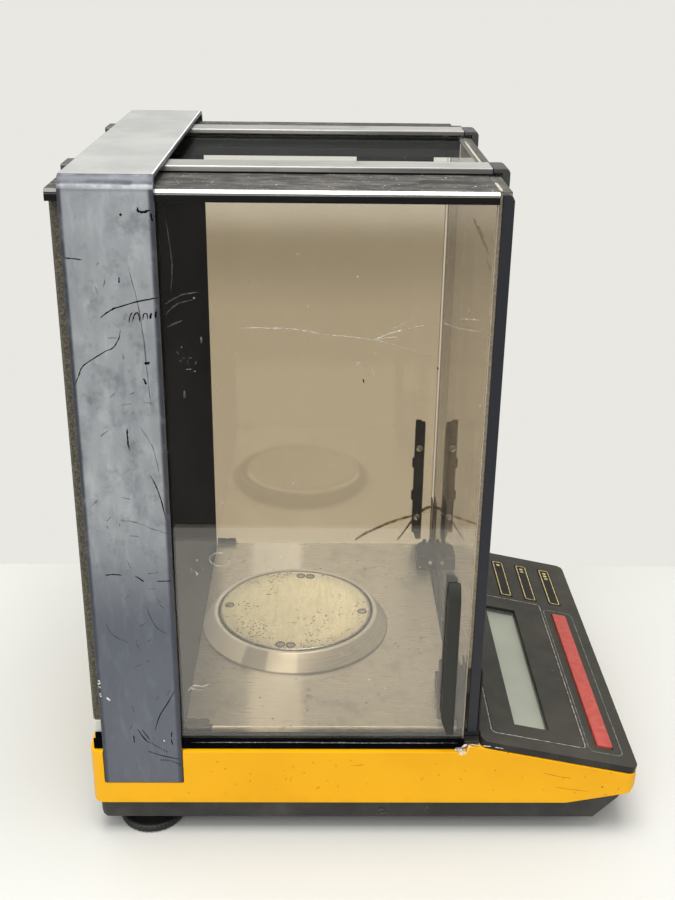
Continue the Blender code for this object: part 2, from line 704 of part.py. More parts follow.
# ---- pan, ring and weigh cell ----------------------------------------------------------------
def make_weighing_pan():
    underside = PAN_TOP - 1.6
    profile = [
        (0, PAN_TOP - 0.3), (PAN_RADIUS - 1.6, PAN_TOP - 0.3), (PAN_RADIUS - 1.0, PAN_TOP + 0.3),
        (PAN_RADIUS - 0.2, PAN_TOP + 0.3), (PAN_RADIUS, PAN_TOP), (PAN_RADIUS, underside + 0.4),
        (PAN_RADIUS - 0.6, underside), (7.5, underside), (6.5, underside - 1.0), (6.0, 39.6),
        (POST_RADIUS + 0.6, 39.6), (POST_RADIUS + GAP, 40.2), (POST_RADIUS + GAP, 43.4), (0, 43.4),
    ]
    return turned("weighing_pan", profile, 0, PAN_CENTRE, "pan_metal", 48)


def make_draft_ring():
    """Conical wind guard that lies on the floor around the pan."""
    base = FLOOR_TOP + GAP
    profile = [
        (RING_OUTER, base), (RING_OUTER + 0.2, base + 0.6), (RING_INNER + 1.9, RING_TOP),
        (RING_INNER + 0.3, RING_TOP), (RING_INNER, RING_TOP - 0.4), (RING_INNER, RING_TOP - 1.0),
        (RING_OUTER - 1.6, base),
    ]
    return turned("draft_ring", profile, 0, PAN_CENTRE, "stainless", 48)


def make_pan_carrier():
    """Post that carries the pan, on the block that loads the lever."""
    carrier = block("pan_carrier", -8, 8, 84, 99, 12.0, 17.0, "aluminium")
    post = plan_prism("post", circle(0, PAN_CENTRE, POST_RADIUS, 16), 16.0, 42.6)
    return join(carrier, post)


def make_weigh_cell_frame():
    """Rigid casting: base plate, two fulcrum cheeks and the tower of the parallel guide."""
    frame = block("weigh_cell_frame", -32, 32, 66, 166, -7.4, -3.4, "aluminium")
    for x0, x1 in ((-15, -10), (10, 15)):
        cheek = [(FULCRUM - 9, -4), (FULCRUM - 5, 13), (FULCRUM + 5, 13), (FULCRUM + 9, -4)]
        join(frame, side_prism("cheek", cheek, x0, x1))
    join(frame, block("tower", -16, 16, 68, 75, -4, 24))
    join(frame, block("upper_arm", -14, 14, 74, 81, 20.5, 24))
    return frame


def make_lever():
    """Beam on a cross pivot; its long arm carries the coil in the magnet gap."""
    lever = block("balance_lever", -4.5, 4.5, 90, MAGNET_CENTRE, 6.0, 10.0, "aluminium")
    join(lever, side_prism("pivot", circle(FULCRUM, FULCRUM_HEIGHT, 1.8, 16), -9.6, 9.6))
    join(lever, plan_prism("coil_plate", circle(0, MAGNET_CENTRE, 10.0, 24), 6.0, 10.0))
    put_origin(lever, 0, FULCRUM, FULCRUM_HEIGHT)
    return lever


def make_coil():
    """Moving coil under the end of the beam; it turns about the same pivot."""
    profile = [(7.4, -0.6), (9.4, -0.6), (9.4, 5.7), (7.4, 5.7)]
    coil = turned("force_coil", profile, 0, MAGNET_CENTRE, "copper", 24)
    return put_origin(coil, 0, FULCRUM, FULCRUM_HEIGHT)


def make_magnet():
    """Pot magnet with an annular gap for the coil."""
    profile = [(0, -3.1), (17.0, -3.1), (17.0, 5.0), (10.6, 5.0), (10.6, -1.9), (6.2, -1.9), (6.2, 5.0),
               (0, 5.0)]
    return turned("magnet_pot", profile, 0, MAGNET_CENTRE, "steel", 24)


# ---- electronics -----------------------------------------------------------------------------
def make_main_board():
    board = block("main_board", -78, 78, 32.0, 33.6, 96, 258, "board_green")
    for x, h, half_x, half_h, depth in ((-40, 220, 14, 9, 4), (10, 215, 11, 11, 5), (48, 225, 9, 14, 9),
                                        (-20, 150, 24, 8, 4), (40, 140, 12, 12, 10)):
        join(board, block("chip", x - half_x, x + half_x, 32.0 - depth, 32.8, h - half_h, h + half_h))
    return board


def make_transformer():
    core = block("transformer", 2, 62, 9, 36, 30.0, 40.0, "steel")
    for x0, x1 in ((2, 12), (52, 62)):
        join(core, block("limb", x0, x1, 9, 36, 39, 52))
    return join(core, block("winding", 14, 50, 7, 38, 39.5, 50.0))


# ---- control panel, in its own tilted frame --------------------------------------------------
def slope_y(u):
    """Place along the slab, measured in its tilted frame, of a point above u."""
    return PANEL_LENGTH / 2 - (u - PANEL_START) / math.cos(PANEL_SLOPE)


def local_box(name, x0, x1, u0, u1, z0, z1, palette_name=None, radius=0.0):
    ys = sorted((slope_y(u0), slope_y(u1)))
    outline = rounded_rectangle(x0, x1, *ys, radius, 3) if radius else rectangle(x0, x1, *ys)
    return prism(name, outline, z0, z1, local_point, palette_name)


def make_control_panel():
    """Slab with its keys, tare bar and display, all parented to one tilted empty."""
    tilt = bpy.data.objects.new("panel_tilt", None)
    bpy.context.scene.collection.objects.link(tilt)
    middle = (PANEL_START + HOUSING_LENGTH) / 2
    tilt.location = (0, along(middle), up(wedge_height(middle)))
    tilt.rotation_euler = (PANEL_SLOPE, 0, 0)

    half = PANEL_LENGTH / 2
    slab_outline = rounded_rectangle(-PANEL_HALF_WIDTH, PANEL_HALF_WIDTH, -half, half, 4.0, 4)
    slab = prism("control_panel", slab_outline, -PANEL_THICKNESS, 0, local_point, "panel_black")
    cut(slab, local_box("recess", *BEZEL_X, *BEZEL_U, -1.1, 5, radius=2.0))
    cut(slab, local_box("display_hole", *DISPLAY_X, *DISPLAY_U, -9, 5))
    cut(slab, local_box("bar_hole", BAR_X[0] - GAP, BAR_X[1] + GAP, BAR_U[0] - GAP, BAR_U[1] + GAP,
                        -9, 5))
    pieces = [slab]
    for centre in KEY_CENTRES:
        hole = local_box("key_hole", KEY_X[0] - GAP, KEY_X[1] + GAP, centre - KEY_HALF_WIDTH - GAP,
                         centre + KEY_HALF_WIDTH + GAP, -9, 5)
        cut(slab, hole)
    for i, centre in enumerate(KEY_CENTRES):
        pieces.append(local_box("function_key_%d" % (i + 1), *KEY_X, centre - KEY_HALF_WIDTH,
                                centre + KEY_HALF_WIDTH, -3.2, 0.2, "key_brown", 1.0))
    pieces.append(local_box("tare_bar", *BAR_X, *BAR_U, -3.2, 1.1, "red_plastic", 1.0))
    bezel = local_box("display_bezel", BEZEL_X[0] + GAP, BEZEL_X[1] - GAP, BEZEL_U[0] + GAP,
                      BEZEL_U[1] - GAP, -0.8, 0.15, "panel_black", 1.8)
    cut(bezel, local_box("opening", *DISPLAY_X, *DISPLAY_U, -5, 5))
    pieces.append(bezel)
    pieces.append(local_box("display_window", DISPLAY_X[0] + GAP, DISPLAY_X[1] - GAP, DISPLAY_U[0] + GAP,
                            DISPLAY_U[1] - GAP, -2.4, -1.4, "clear_glass"))
    pieces.append(local_box("display_module", DISPLAY_X[0] - 3, DISPLAY_X[1] + 3, DISPLAY_U[0] - 3,
                            DISPLAY_U[1] + 3, -7.0, -PANEL_THICKNESS - GAP, "lcd_grey"))
    board = local_box("key_board", -80, 80, 188, 241, -9.4, -7.8, "board_green")
    for centre in KEY_CENTRES:
        join(board, local_box("switch", 61, 68, centre - 2.6, centre + 2.6, -8.2, -4.6))
    for x in (-70, 20):
        join(board, local_box("switch", x - 3, x + 3, 233.8, 238.9, -8.2, -4.6))
    pieces.append(board)
    for piece in pieces:
        piece.parent = tilt


# ---- assembly --------------------------------------------------------------------------------
def make_balance():
    make_base_housing()
    make_bottom_pan()
    make_levelling_foot("levelling_foot_left", -FOOT_OFFSET)
    make_levelling_foot("levelling_foot_right", FOOT_OFFSET)
    make_front_foot("front_foot_left", -FRONT_FOOT_OFFSET)
    make_front_foot("front_foot_right", FRONT_FOOT_OFFSET)
    front_prism("column_strap", strap_outline(), STRAP_BACK, STRAP_FRONT, "strap_paint")
    make_rear_cover()
    make_rear_wall()
    make_power_inlet()
    make_data_socket()
    make_fuse_holder()
    for side, suffix in ((-1, "left"), (1, "right")):
        make_side(side, suffix)
    block("front_pane", -PANE_HALF_WIDTH, PANE_HALF_WIDTH, PANE_BACK, PANE_BACK + PANE_THICKNESS,
          PANE_BOTTOM, PANE_TOP, "tinted_glass")
    make_pane_sill()
    make_floor_plate()
    block("top_lid", -LID_HALF_WIDTH, LID_HALF_WIDTH, CHAMBER_BACK - 6, PANE_BACK - GAP, LID_BOTTOM,
          LID_BOTTOM + LID_THICKNESS, "clear_glass")
    make_weighing_pan()
    make_draft_ring()
    make_pan_carrier()
    make_weigh_cell_frame()
    make_lever()
    make_coil()
    make_magnet()
    make_main_board()
    make_transformer()
    make_control_panel()


for leftover in list(bpy.data.objects):
    bpy.data.objects.remove(leftover, do_unlink=True)
make_balance()
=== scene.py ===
"""Looks of an analytical balance: fine-surface pieces, materials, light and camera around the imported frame.

Positions and sizes are metres in the frame's axes: +X is the user's right, -Y the front, +Z up. Names
that end in _mm are millimetres. Distances u are millimetres forward from the rear face of the housing,
and heights h are millimetres above the lower edge of the yellow band. Marks are lists of (width, points),
with points (u, h).
"""

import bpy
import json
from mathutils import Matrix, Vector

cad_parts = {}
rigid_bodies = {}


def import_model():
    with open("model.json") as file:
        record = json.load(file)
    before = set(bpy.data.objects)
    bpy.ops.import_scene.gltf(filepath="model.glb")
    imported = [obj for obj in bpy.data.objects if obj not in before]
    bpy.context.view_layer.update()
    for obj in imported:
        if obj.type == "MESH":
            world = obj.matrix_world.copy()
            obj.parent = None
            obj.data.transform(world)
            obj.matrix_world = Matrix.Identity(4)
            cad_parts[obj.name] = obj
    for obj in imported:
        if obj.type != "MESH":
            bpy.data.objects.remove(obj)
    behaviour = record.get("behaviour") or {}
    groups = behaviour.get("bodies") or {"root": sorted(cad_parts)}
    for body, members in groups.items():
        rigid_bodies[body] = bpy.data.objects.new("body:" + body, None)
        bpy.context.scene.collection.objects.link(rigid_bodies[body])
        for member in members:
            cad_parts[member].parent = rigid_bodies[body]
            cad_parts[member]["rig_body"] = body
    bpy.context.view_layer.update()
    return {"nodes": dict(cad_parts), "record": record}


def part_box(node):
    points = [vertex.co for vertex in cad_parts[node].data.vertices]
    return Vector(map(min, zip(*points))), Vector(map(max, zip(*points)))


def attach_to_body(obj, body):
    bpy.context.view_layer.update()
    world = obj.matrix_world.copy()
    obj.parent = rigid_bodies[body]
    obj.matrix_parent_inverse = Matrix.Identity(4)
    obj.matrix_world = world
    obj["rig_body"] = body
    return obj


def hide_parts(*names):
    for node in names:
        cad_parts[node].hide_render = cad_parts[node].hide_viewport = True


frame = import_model()

import json
import math
import random

import bmesh
import bpy
from mathutils import Matrix, Vector

MM = 0.001
RECORD = frame["record"]
HOUSING_LOW, HOUSING_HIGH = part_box("base_housing")
BAND_FOOT = HOUSING_LOW.z                # lower edge of the yellow band
REAR_FACE = HOUSING_HIGH.y
HOUSING_SIDE = HOUSING_LOW.x / MM        # its left face, in millimetres


def at(x_mm, u_mm, h_mm):
    """A point given across the width, forward from the rear face and above the band's lower edge."""
    return Vector((x_mm * MM, REAR_FACE - u_mm * MM, BAND_FOOT + h_mm * MM))


def y_at(u_mm):
    """The frame's y of a distance forward from the rear face."""
    return at(0, u_mm, 0).y


def z_at(h_mm):
    """The frame's z of a height above the band's lower edge."""
    return at(0, 0, h_mm).z


def round_box(node):
    """Limits of a node that is round when seen from above, its centre and its radius."""
    low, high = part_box(node)
    return low, high, (low + high) / 2, (high.x - low.x) / 2


def tone(red, green, blue):
    """A colour written as it looks on screen, 0 to 255, as linear light."""
    def linear(value):
        share = value / 255
        return share / 12.92 if share <= 0.04045 else ((share + 0.055) / 1.055) ** 2.4
    return (linear(red), linear(green), linear(blue))


def grey(value):
    """A grey written as it looks on screen."""
    return tone(value, value, value)


# ---- node trees ----------------------------------------------------------------------------------
class Graph:
    """Short-hand for the node tree of a new material, or of the world if one is given. Any value may be
    a number, a colour or a node's output. place, x, y and z are the position on the object, or the
    direction in the world."""

    def __init__(self, name, world=None):
        self.material = world or bpy.data.materials.new(name)
        self.material.use_nodes = True
        self.nodes = self.material.node_tree.nodes
        self.links = self.material.node_tree.links
        self.nodes.clear()
        self.output = self.add("OutputWorld" if world else "OutputMaterial")
        self.place = self.add("TexCoord").outputs["Generated" if world else "Object"]
        self.x, self.y, self.z = self.add("SeparateXYZ", Vector=self.place).outputs

    def add(self, kind, **inputs):
        """A node; names in lower case are its settings, the others its inputs (_ stands for a space)."""
        node = self.nodes.new("ShaderNode" + kind)
        settings = [key for key in inputs if key.islower()]
        for key in settings:
            setattr(node, key, inputs.pop(key))
        for key, value in inputs.items():
            self.feed(node.inputs[key.replace("_", " ")], value)
        return node

    def feed(self, socket, value):
        """Links an output to the input, or sets the input's value."""
        if isinstance(value, bpy.types.NodeSocket):
            self.links.new(value, socket)
        elif isinstance(value, (tuple, list)) and socket.type == "RGBA":
            socket.default_value = (*value[:3], 1.0)
        else:
            socket.default_value = value

    def calc(self, operation, first, second=0.0, clamp=False):
        """Arithmetic on numbers."""
        node = self.add("Math", operation=operation, use_clamp=clamp)
        self.feed(node.inputs[0], first)
        self.feed(node.inputs[1], second)
        return node.outputs[0]

    def times(self, first, second, clamp=False):
        return self.calc("MULTIPLY", first, second, clamp)

    def plus(self, first, second, clamp=False):
        return self.calc("ADD", first, second, clamp)

    def minus(self, first, second):
        return self.calc("SUBTRACT", first, second)

    def larger(self, first, second):
        return self.calc("MAXIMUM", first, second)

    def toward(self, angle, degrees):
        """1 where the angle points this way, falling to -1 where it points the opposite way."""
        return self.calc("COSINE", self.minus(angle, math.radians(degrees)))

    def vector(self, operation, first, second):
        """Vector arithmetic; the second value is a number for SCALE."""
        node = self.add("VectorMath", operation=operation)
        self.feed(node.inputs[0], first)
        self.feed(node.inputs["Scale" if operation == "SCALE" else 1], second)
        return node.outputs["Value" if operation in ("DOT_PRODUCT", "DISTANCE") else 0]

    def combine(self, x, y, z):
        return self.add("CombineXYZ", X=x, Y=y, Z=z).outputs[0]

    def stretched(self, x, y, z):
        """The position scaled along each axis; under 1 draws a pattern out along it."""
        return self.vector("MULTIPLY", self.place, (x, y, z))

    def upward(self):
        """How far the surface faces up: 1 for flat on top, 0 for upright."""
        return self.add("SeparateXYZ", Vector=self.add("NewGeometry").outputs["Normal"]).outputs[2]

    def noise(self, size, detail=3.0, roughness=0.5, place=None):
        """Soft random pattern, 0 to 1, whose blobs are about size metres wide."""
        node = self.add("TexNoise", Vector=place or self.place, Scale=1 / size, Detail=detail,
                        Roughness=roughness)
        return node.outputs[0]

    def specks(self, size, spread=1.0):
        """Distance from the nearest of many scattered points, as a share of their spacing."""
        return self.add("TexVoronoi", Vector=self.place, Scale=1 / size, Randomness=spread).outputs[0]

    def window(self, value, start, end, low=0.0, high=1.0):
        """low where value is before start, high past end, and an S-curve in between."""
        node = self.add("MapRange", interpolation_type="SMOOTHSTEP", Value=value, From_Min=start,
                        From_Max=end, To_Min=low, To_Max=high)
        return node.outputs[0]

    def band(self, value, start, full, fading, end):
        """1 where value is between full and fading, falling to 0 at start and at end."""
        return self.times(self.window(value, start, full), self.window(value, end, fading))

    def patches(self, start, end, *pattern):
        """Noise made into patches: 0 where it is under start and 1 where it is over end."""
        return self.window(self.noise(*pattern), start, end)

    def mix(self, share, first, second):
        """The first colour where share is 0, the second where it is 1."""
        node = self.add("Mix", data_type="RGBA")
        self.feed(node.inputs[0], share)
        self.feed(node.inputs[6], first)
        self.feed(node.inputs[7], second)
        return node.outputs[2]

    def over(self, base, share, strength, colour):
        """base with colour laid over it where share is high, at most by strength."""
        return self.mix(self.times(share, strength), base, colour)

    def between(self, share, first, second):
        """The first number where share is 0, the second where it is 1."""
        node = self.add("Mix", data_type="FLOAT")
        self.feed(node.inputs[0], share)
        self.feed(node.inputs[2], first)
        self.feed(node.inputs[3], second)
        return node.outputs[0]

    def wobbly(self, amount, size):
        """The position pushed about by noise, for lines drawn by hand."""
        noise = self.add("TexNoise", Vector=self.place, Scale=1 / size, Detail=2.0)
        centred = self.vector("SUBTRACT", noise.outputs["Color"], (0.5, 0.5, 0.5))
        return self.vector("ADD", self.place, self.vector("SCALE", centred, amount))

    def stroke(self, points, width, place):
        """1 on a line through the points, falling to 0 at width beside it. place is where a point of
        the surface counts as being."""
        shown = None
        for start, end in zip(points, points[1:]):
            span = end - start
            from_start = self.vector("SUBTRACT", place, start)
            along = self.vector("DOT_PRODUCT", from_start, span / max(span.length_squared, 1e-12))
            foot = self.vector("SCALE", span, self.times(along, 1.0, clamp=True))
            mask = self.window(self.vector("DISTANCE", from_start, foot), width, width * 0.35)
            shown = mask if shown is None else self.larger(shown, mask)
        return shown

    def oval(self, middle, across, along):
        """Distance from the middle of an upright oval as a share of its half sizes along Y and Z."""
        a = self.calc("DIVIDE", self.minus(self.y, middle.y), across)
        b = self.calc("DIVIDE", self.minus(self.z, middle.z), along)
        return self.calc("SQRT", self.plus(self.times(a, a), self.times(b, b)))

    def bump(self, height, depth, strength=1.0):
        """A normal for a relief of this depth in metres."""
        return self.add("Bump", Strength=strength, Distance=depth, Height=height).outputs[0]

    def blend(self, share, first, second):
        """One shader node fading into another."""
        node = self.add("MixShader", Fac=share)
        self.links.new(first.outputs[0], node.inputs[1])
        self.links.new(second.outputs[0], node.inputs[2])
        return node

    def finish(self, shader):
        """Links the shader to the output and gives the material."""
        self.links.new(shader, self.output.inputs["Surface"])
        return self.material

    def surface(self, colour, roughness, metallic, normal, **more):
        """The material with one opaque shader."""
        node = self.add("BsdfPrincipled", Base_Color=colour, Roughness=roughness, Metallic=metallic,
                        Normal=normal, **more)
        return self.finish(node.outputs[0])


# ---- painted and plastic finishes ----------------------------------------------------------------
def yellow_paint():
    """Semi-matt enamel with faint pits, chipped at the step in front of the pane."""
    g = Graph("yellow_paint")
    cloud = g.noise(0.06, 4)
    base = g.mix(g.window(cloud, 0.35, 0.7), tone(234, 171, 8), tone(227, 163, 4))
    lower_dirt = g.times(g.window(g.z, BAND_FOOT + 0.005, BAND_FOOT),
                         g.patches(0.4, 0.7, 0.008))
    base = g.over(base, lower_dirt, 0.1, tone(160, 105, 20))
    pit = g.times(g.window(g.specks(0.009), 0.075, 0.035), g.patches(0.5, 0.6, 0.03))
    base = g.over(base, pit, 0.75, tone(120, 78, 20))
    bent = g.wobbly(0.002, 0.012)
    corner = [at(HOUSING_SIDE, u, h) for u, h in ((166.5, 30.5), (168.5, 28.5), (170.5, 32.5))]
    edge = [at(HOUSING_SIDE, u, h) for u, h in ((171, 32.3), (178, 30.9), (188, 28.9))]
    chipped = g.plus(g.stroke(corner, 0.0020, bent), g.stroke(edge, 0.0004, bent), clamp=True)
    chipped = g.times(chipped, g.patches(0.36, 0.5, 0.0016, 5))
    base = g.mix(chipped, base, tone(226, 214, 190))
    orange_peel = g.noise(0.0012, 2)
    depth = g.plus(g.times(orange_peel, 0.12), g.times(chipped, -0.8))
    relief = g.bump(depth, 0.00025)
    rough = g.between(g.patches(0.35, 0.7, 0.02, 4), 0.3, 0.42)
    return g.surface(base, rough, 0.0, relief, Specular_IOR_Level=0.22)


def strap_clouds(g, level, streaks, fine):
    """Colour of the strap's flat sides, lighter where level is 1."""
    base = g.mix(level, tone(94, 98, 108), tone(150, 153, 157))
    base = g.mix(g.window(streaks, 0.3, 0.75), base, g.mix(level, tone(84, 88, 98), tone(180, 183, 186)))
    blotch = g.patches(0.52, 0.72, 0.022, 6, 0.65, g.stretched(1, 1, 0.55))
    base = g.over(base, blotch, 0.5, tone(84, 88, 102))
    polished = g.mix(level, tone(122, 127, 138), tone(205, 208, 210))
    base = g.over(base, g.window(fine, 0.48, 0.7), 0.26, polished)
    grime = g.patches(0.5, 0.68, 0.0085, 6, 0.7)
    return g.over(base, grime, 0.32, tone(92, 94, 100))


def strap_edge_shade(g, base, front, rear):
    """The strap's colour with painted shade along its front and rear edges, and a broken darker line in it.
    """
    # Painted shade along the front and rear edges, below the top.
    painted_light_band = g.larger(g.window(g.y, front + 0.0026, front + 0.0004),
                      g.window(g.y, rear - 0.0018, rear - 0.0002))
    painted_light_band = g.times(painted_light_band, g.window(g.z, 0.301, 0.296))
    base = g.over(base, painted_light_band, 0.55, tone(56, 58, 68))
    # A broken darker line inside the painted shade at each edge.
    edge_shade_line = g.larger(g.window(g.y, front + 0.0026, front + 0.0011),
                         g.window(g.y, rear - 0.0022, rear - 0.0010))
    edge_shade_line = g.times(edge_shade_line, g.window(g.noise(0.006, 4), 0.25, 0.5, 0.5, 0.85))
    return g.mix(edge_shade_line, base, tone(56, 59, 70))


def strap_corner_light(g, base, up, patchy):
    """The strap's colour with painted light on its rounded corners: painted shade over the curve, a painted
    dark line near the top and a painted highlight low on the curve.
    """
    # Painted shade where the corner turns from the side to the top.
    turned = g.times(g.band(up, 0.34, 0.5, 0.97, 0.99), g.window(patchy, 0.3, 0.6, 0.55, 0.9))
    base = g.mix(turned, base, tone(60, 63, 74))
    # Painted dark line near the top of the curve.
    base = g.over(base, g.band(up, 0.93, 0.95, 0.965, 0.985), 0.6, tone(46, 48, 54))
    # Painted highlight low on the curve, broken up by noise.
    glint = g.times(g.band(up, 0.03, 0.14, 0.3, 0.44), g.window(patchy, 0.35, 0.6, 0.15, 1.0))
    return g.over(base, glint, 0.4, tone(214, 217, 222))


def strap_paint():
    """Worn dark metallic paint, lighter above, darker and bluer below, pale on top; painted shade on its
    edges and corners, painted highlights on its corners and top edge.
    """
    g = Graph("strap_paint")
    # heights where the sides turn from the darker, bluer tone below to the lighter tone above
    lighter_from, lighter_full = 0.108, 0.178
    front, rear = (corner.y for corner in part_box("column_strap"))
    streaks = g.noise(0.03, 5, 0.6, g.stretched(1, 1, 0.28))
    fine = g.noise(0.004, 4, 0.6, g.stretched(1, 1, 0.3))
    patchy = g.noise(0.007, 5, 0.65, g.stretched(1, 1, 1.6))
    up = g.upward()
    base = strap_clouds(g, g.window(g.z, lighter_from, lighter_full), streaks, fine)
    # Painted shade over the bend from the side to the top.
    base = g.over(base, g.band(g.z, 0.2972, 0.2992, 0.3030, 0.3036), 0.5, tone(92, 95, 102))
    base = strap_corner_light(g, strap_edge_shade(g, base, front, rear), up, patchy)
    smear = g.stroke([at(-95, 18.5, 283.4), at(-95, 33, 283.0)], 0.0017, g.wobbly(0.002, 0.008))
    base = g.over(base, smear, 0.8, tone(52, 54, 58))
    top_face = g.window(up, 0.955, 0.99)
    base = g.mix(top_face, base, g.mix(g.window(streaks, 0.3, 0.7), tone(150, 151, 149), tone(166, 167, 163)))
    # Painted highlight along the front edge of the top.
    top_edge_highlight = g.times(top_face, g.window(g.y, front + 0.0010, front + 0.0006))
    base = g.mix(top_edge_highlight, base, tone(232, 232, 228))
    rough = g.between(top_face, g.between(g.window(fine, 0.3, 0.7), 0.3, 0.44), 0.5)
    curved = g.band(up, 0.02, 0.1, 0.965, 0.99)
    rough = g.between(curved, rough, g.between(g.window(patchy, 0.4, 0.6), 0.6, 0.45))
    relief = g.bump(g.noise(0.0009, 2), 0.00003)
    return g.surface(base, rough, g.between(curved, 0.35, 0.15), relief)


def dark_plastic(name, base_tone, dust_tone, dust=0.3, grain=0.00045, rough=(0.42, 0.6), streaked=False,
                 side_tone=None):
    """Moulded plastic with a fine grain, uneven gloss, dust and small nicks. Upright faces may be darker."""
    g = Graph(name)
    if side_tone is not None:
        up = g.upward()
        base_tone = g.mix(g.window(up, 0.3, 0.6), side_tone, base_tone)
    place = g.stretched(1, 1, 0.2) if streaked else g.place
    cloud = g.patches(0.42, 0.75, 0.03, 6, 0.6, place)
    base = g.mix(g.times(cloud, dust), base_tone, dust_tone)
    speck = g.times(g.window(g.specks(0.006), 0.09, 0.03), g.patches(0.52, 0.62, 0.02))
    base = g.over(base, speck, 0.5, grey(140))
    relief = g.bump(g.noise(grain, 3, 0.6), grain * 0.35)
    gloss = g.between(g.patches(0.35, 0.7, 0.012, 4, 0.5, place), *rough)
    return g.surface(base, gloss, 0.0, relief, Specular_IOR_Level=0.3)


def textured_brown():
    """Crinkle paint: olive-brown bumps with lighter tips."""
    g = Graph("textured_brown")
    crinkle = g.noise(0.0008, 5, 0.65)
    base = g.mix(g.window(crinkle, 0.38, 0.72), tone(56, 53, 42), tone(118, 111, 90))
    base = g.over(base, g.patches(0.4, 0.7, 0.03, 3), 0.3, tone(84, 80, 70))
    relief = g.bump(crinkle, 0.0005, 0.9)
    return g.surface(base, 0.62, 0.0, relief)


def black_metal():
    """Satin black sheet and extrusion with dust streaks running down."""
    g = Graph("black_metal")
    down = g.stretched(1, 1, 0.08)
    streak = g.patches(0.5, 0.8, 0.004, 5, 0.6, down)
    broad = g.patches(0.4, 0.75, 0.05, 4)
    base = g.mix(g.times(streak, 0.3), tone(7, 8, 11), tone(36, 39, 50))
    base = g.over(base, broad, 0.2, tone(20, 23, 31))
    relief = g.bump(g.noise(0.0008, 2), 0.00008)
    return g.surface(base, g.between(broad, 0.6, 0.7), 0.0, relief, Specular_IOR_Level=0.0)


def guide_black():
    """Door guide: black, with a dusty ledge on top that is worn dark in patches."""
    g = Graph("guide_black")
    guide_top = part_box("top_guide_left")[1].z
    ledge = g.window(g.z, guide_top - 0.0006, guide_top - 0.0002)
    grain = g.noise(0.003, 6, 0.7, g.stretched(1, 0.3, 1))
    dusty = g.mix(g.window(grain, 0.35, 0.75), tone(44, 43, 41), tone(98, 95, 91))
    patch = g.patches(0.5, 0.66, 0.016, 5, 0.65, g.stretched(1, 0.3, 1))
    dusty = g.over(dusty, patch, 0.6, tone(40, 39, 37))
    dusty = g.over(dusty, g.window(g.specks(0.0028), 0.16, 0.05), 0.7, tone(205, 202, 195))
    smear = g.stroke([at(-73, 144, 279.8), at(-75, 160, 279.8)], 0.005, g.wobbly(0.005, 0.02))
    dusty = g.over(dusty, smear, 0.8, tone(34, 33, 30))
    base = g.mix(ledge, tone(13, 13, 12), dusty)
    streak = g.patches(0.5, 0.8, 0.004, 4, 0.6, g.stretched(1, 0.1, 1))
    base = g.over(base, streak, 0.2, tone(60, 60, 59))
    return g.surface(base, g.between(ledge, 0.45, 0.6), 0.0, g.bump(grain, 0.0001), Specular_IOR_Level=0.25)


def bright_edge():
    """Bare polished aluminium along the outer edge of a guide."""
    g = Graph("bright_edge")
    brushed = g.noise(0.0006, 4, 0.6, g.stretched(1, 0.02, 1))
    base = g.mix(g.window(brushed, 0.3, 0.7), tone(136, 135, 131), tone(162, 161, 157))
    dirt = g.patches(0.55, 0.72, 0.012, 5, 0.6)
    base = g.over(base, dirt, 0.4, tone(114, 111, 105))
    strap_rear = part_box("column_strap")[1].y
    behind = g.window(g.y, strap_rear - 0.0012, strap_rear - 0.0004)
    base = g.over(base, behind, 0.85, tone(40, 39, 36))
    return g.surface(base, 0.32, 0.55, g.bump(brushed, 0.00004))


def rail_grey():
    """Dull brushed aluminium, brushed along its length; its top a little lighter than its sides as painted
    light, and a painted shadow line along its foot.
    """
    g = Graph("rail_grey")
    brushed = g.noise(0.0009, 5, 0.6, g.stretched(1, 0.02, 1))
    low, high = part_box("rail_left")
    top = g.window(g.z, high.z - 0.0004, high.z - 0.0001)
    # The sides take the darker copy of the tone and the top the lighter one, as painted light.
    shade = g.mix(g.window(brushed, 0.3, 0.7), tone(128, 127, 124), tone(156, 155, 151))
    bright = g.mix(g.window(brushed, 0.3, 0.7), tone(132, 131, 127), tone(162, 160, 155))
    base = g.mix(top, shade, bright)
    toward_front = g.window(g.y, y_at(84), y_at(150))
    upright = g.minus(1.0, top)
    base = g.mix(g.times(toward_front, g.times(upright, 0.7)), base, tone(62, 61, 60))
    dirt = g.patches(0.55, 0.72, 0.012, 5, 0.6)
    base = g.over(base, dirt, 0.35, tone(98, 95, 90))
    base = g.mix(g.window(g.y, high.y - 0.0075, high.y - 0.0065, 0.0, 0.85), base, tone(50, 49, 45))
    # Near-black painted shadow line along the rail's foot.
    base = g.mix(g.window(g.z, low.z + 0.0006, low.z + 0.0004), base, tone(12, 12, 12))
    return g.surface(base, g.between(g.window(brushed, 0.3, 0.7), 0.36, 0.5),
                     g.between(toward_front, 0.45, 0.2), g.bump(brushed, 0.00005))


def red_plastic():
    """Ribbed red plastic, worn paler, with one nick."""
    g = Graph("red_plastic")
    worn = g.noise(0.0035, 5, 0.65)
    base = g.mix(g.window(worn, 0.35, 0.7), tone(158, 58, 49), tone(172, 76, 65))
    lines = g.noise(0.0006, 3, 0.6, g.stretched(0.06, 1, 1))
    base = g.over(base, g.window(lines, 0.55, 0.75), 0.25, tone(196, 116, 106))
    low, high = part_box("tare_bar")
    middle = (low + high) / 2
    nick = g.stroke([middle + Vector((-0.002, 0.0008, 0)), middle + Vector((0.001, -0.0006, 0))], 0.0017,
                    g.wobbly(0.002, 0.003))
    base = g.over(base, nick, 0.8, tone(92, 20, 24))
    return g.surface(base, g.between(g.window(worn, 0.3, 0.7), 0.38, 0.52), 0.0, g.bump(worn, 0.0001))


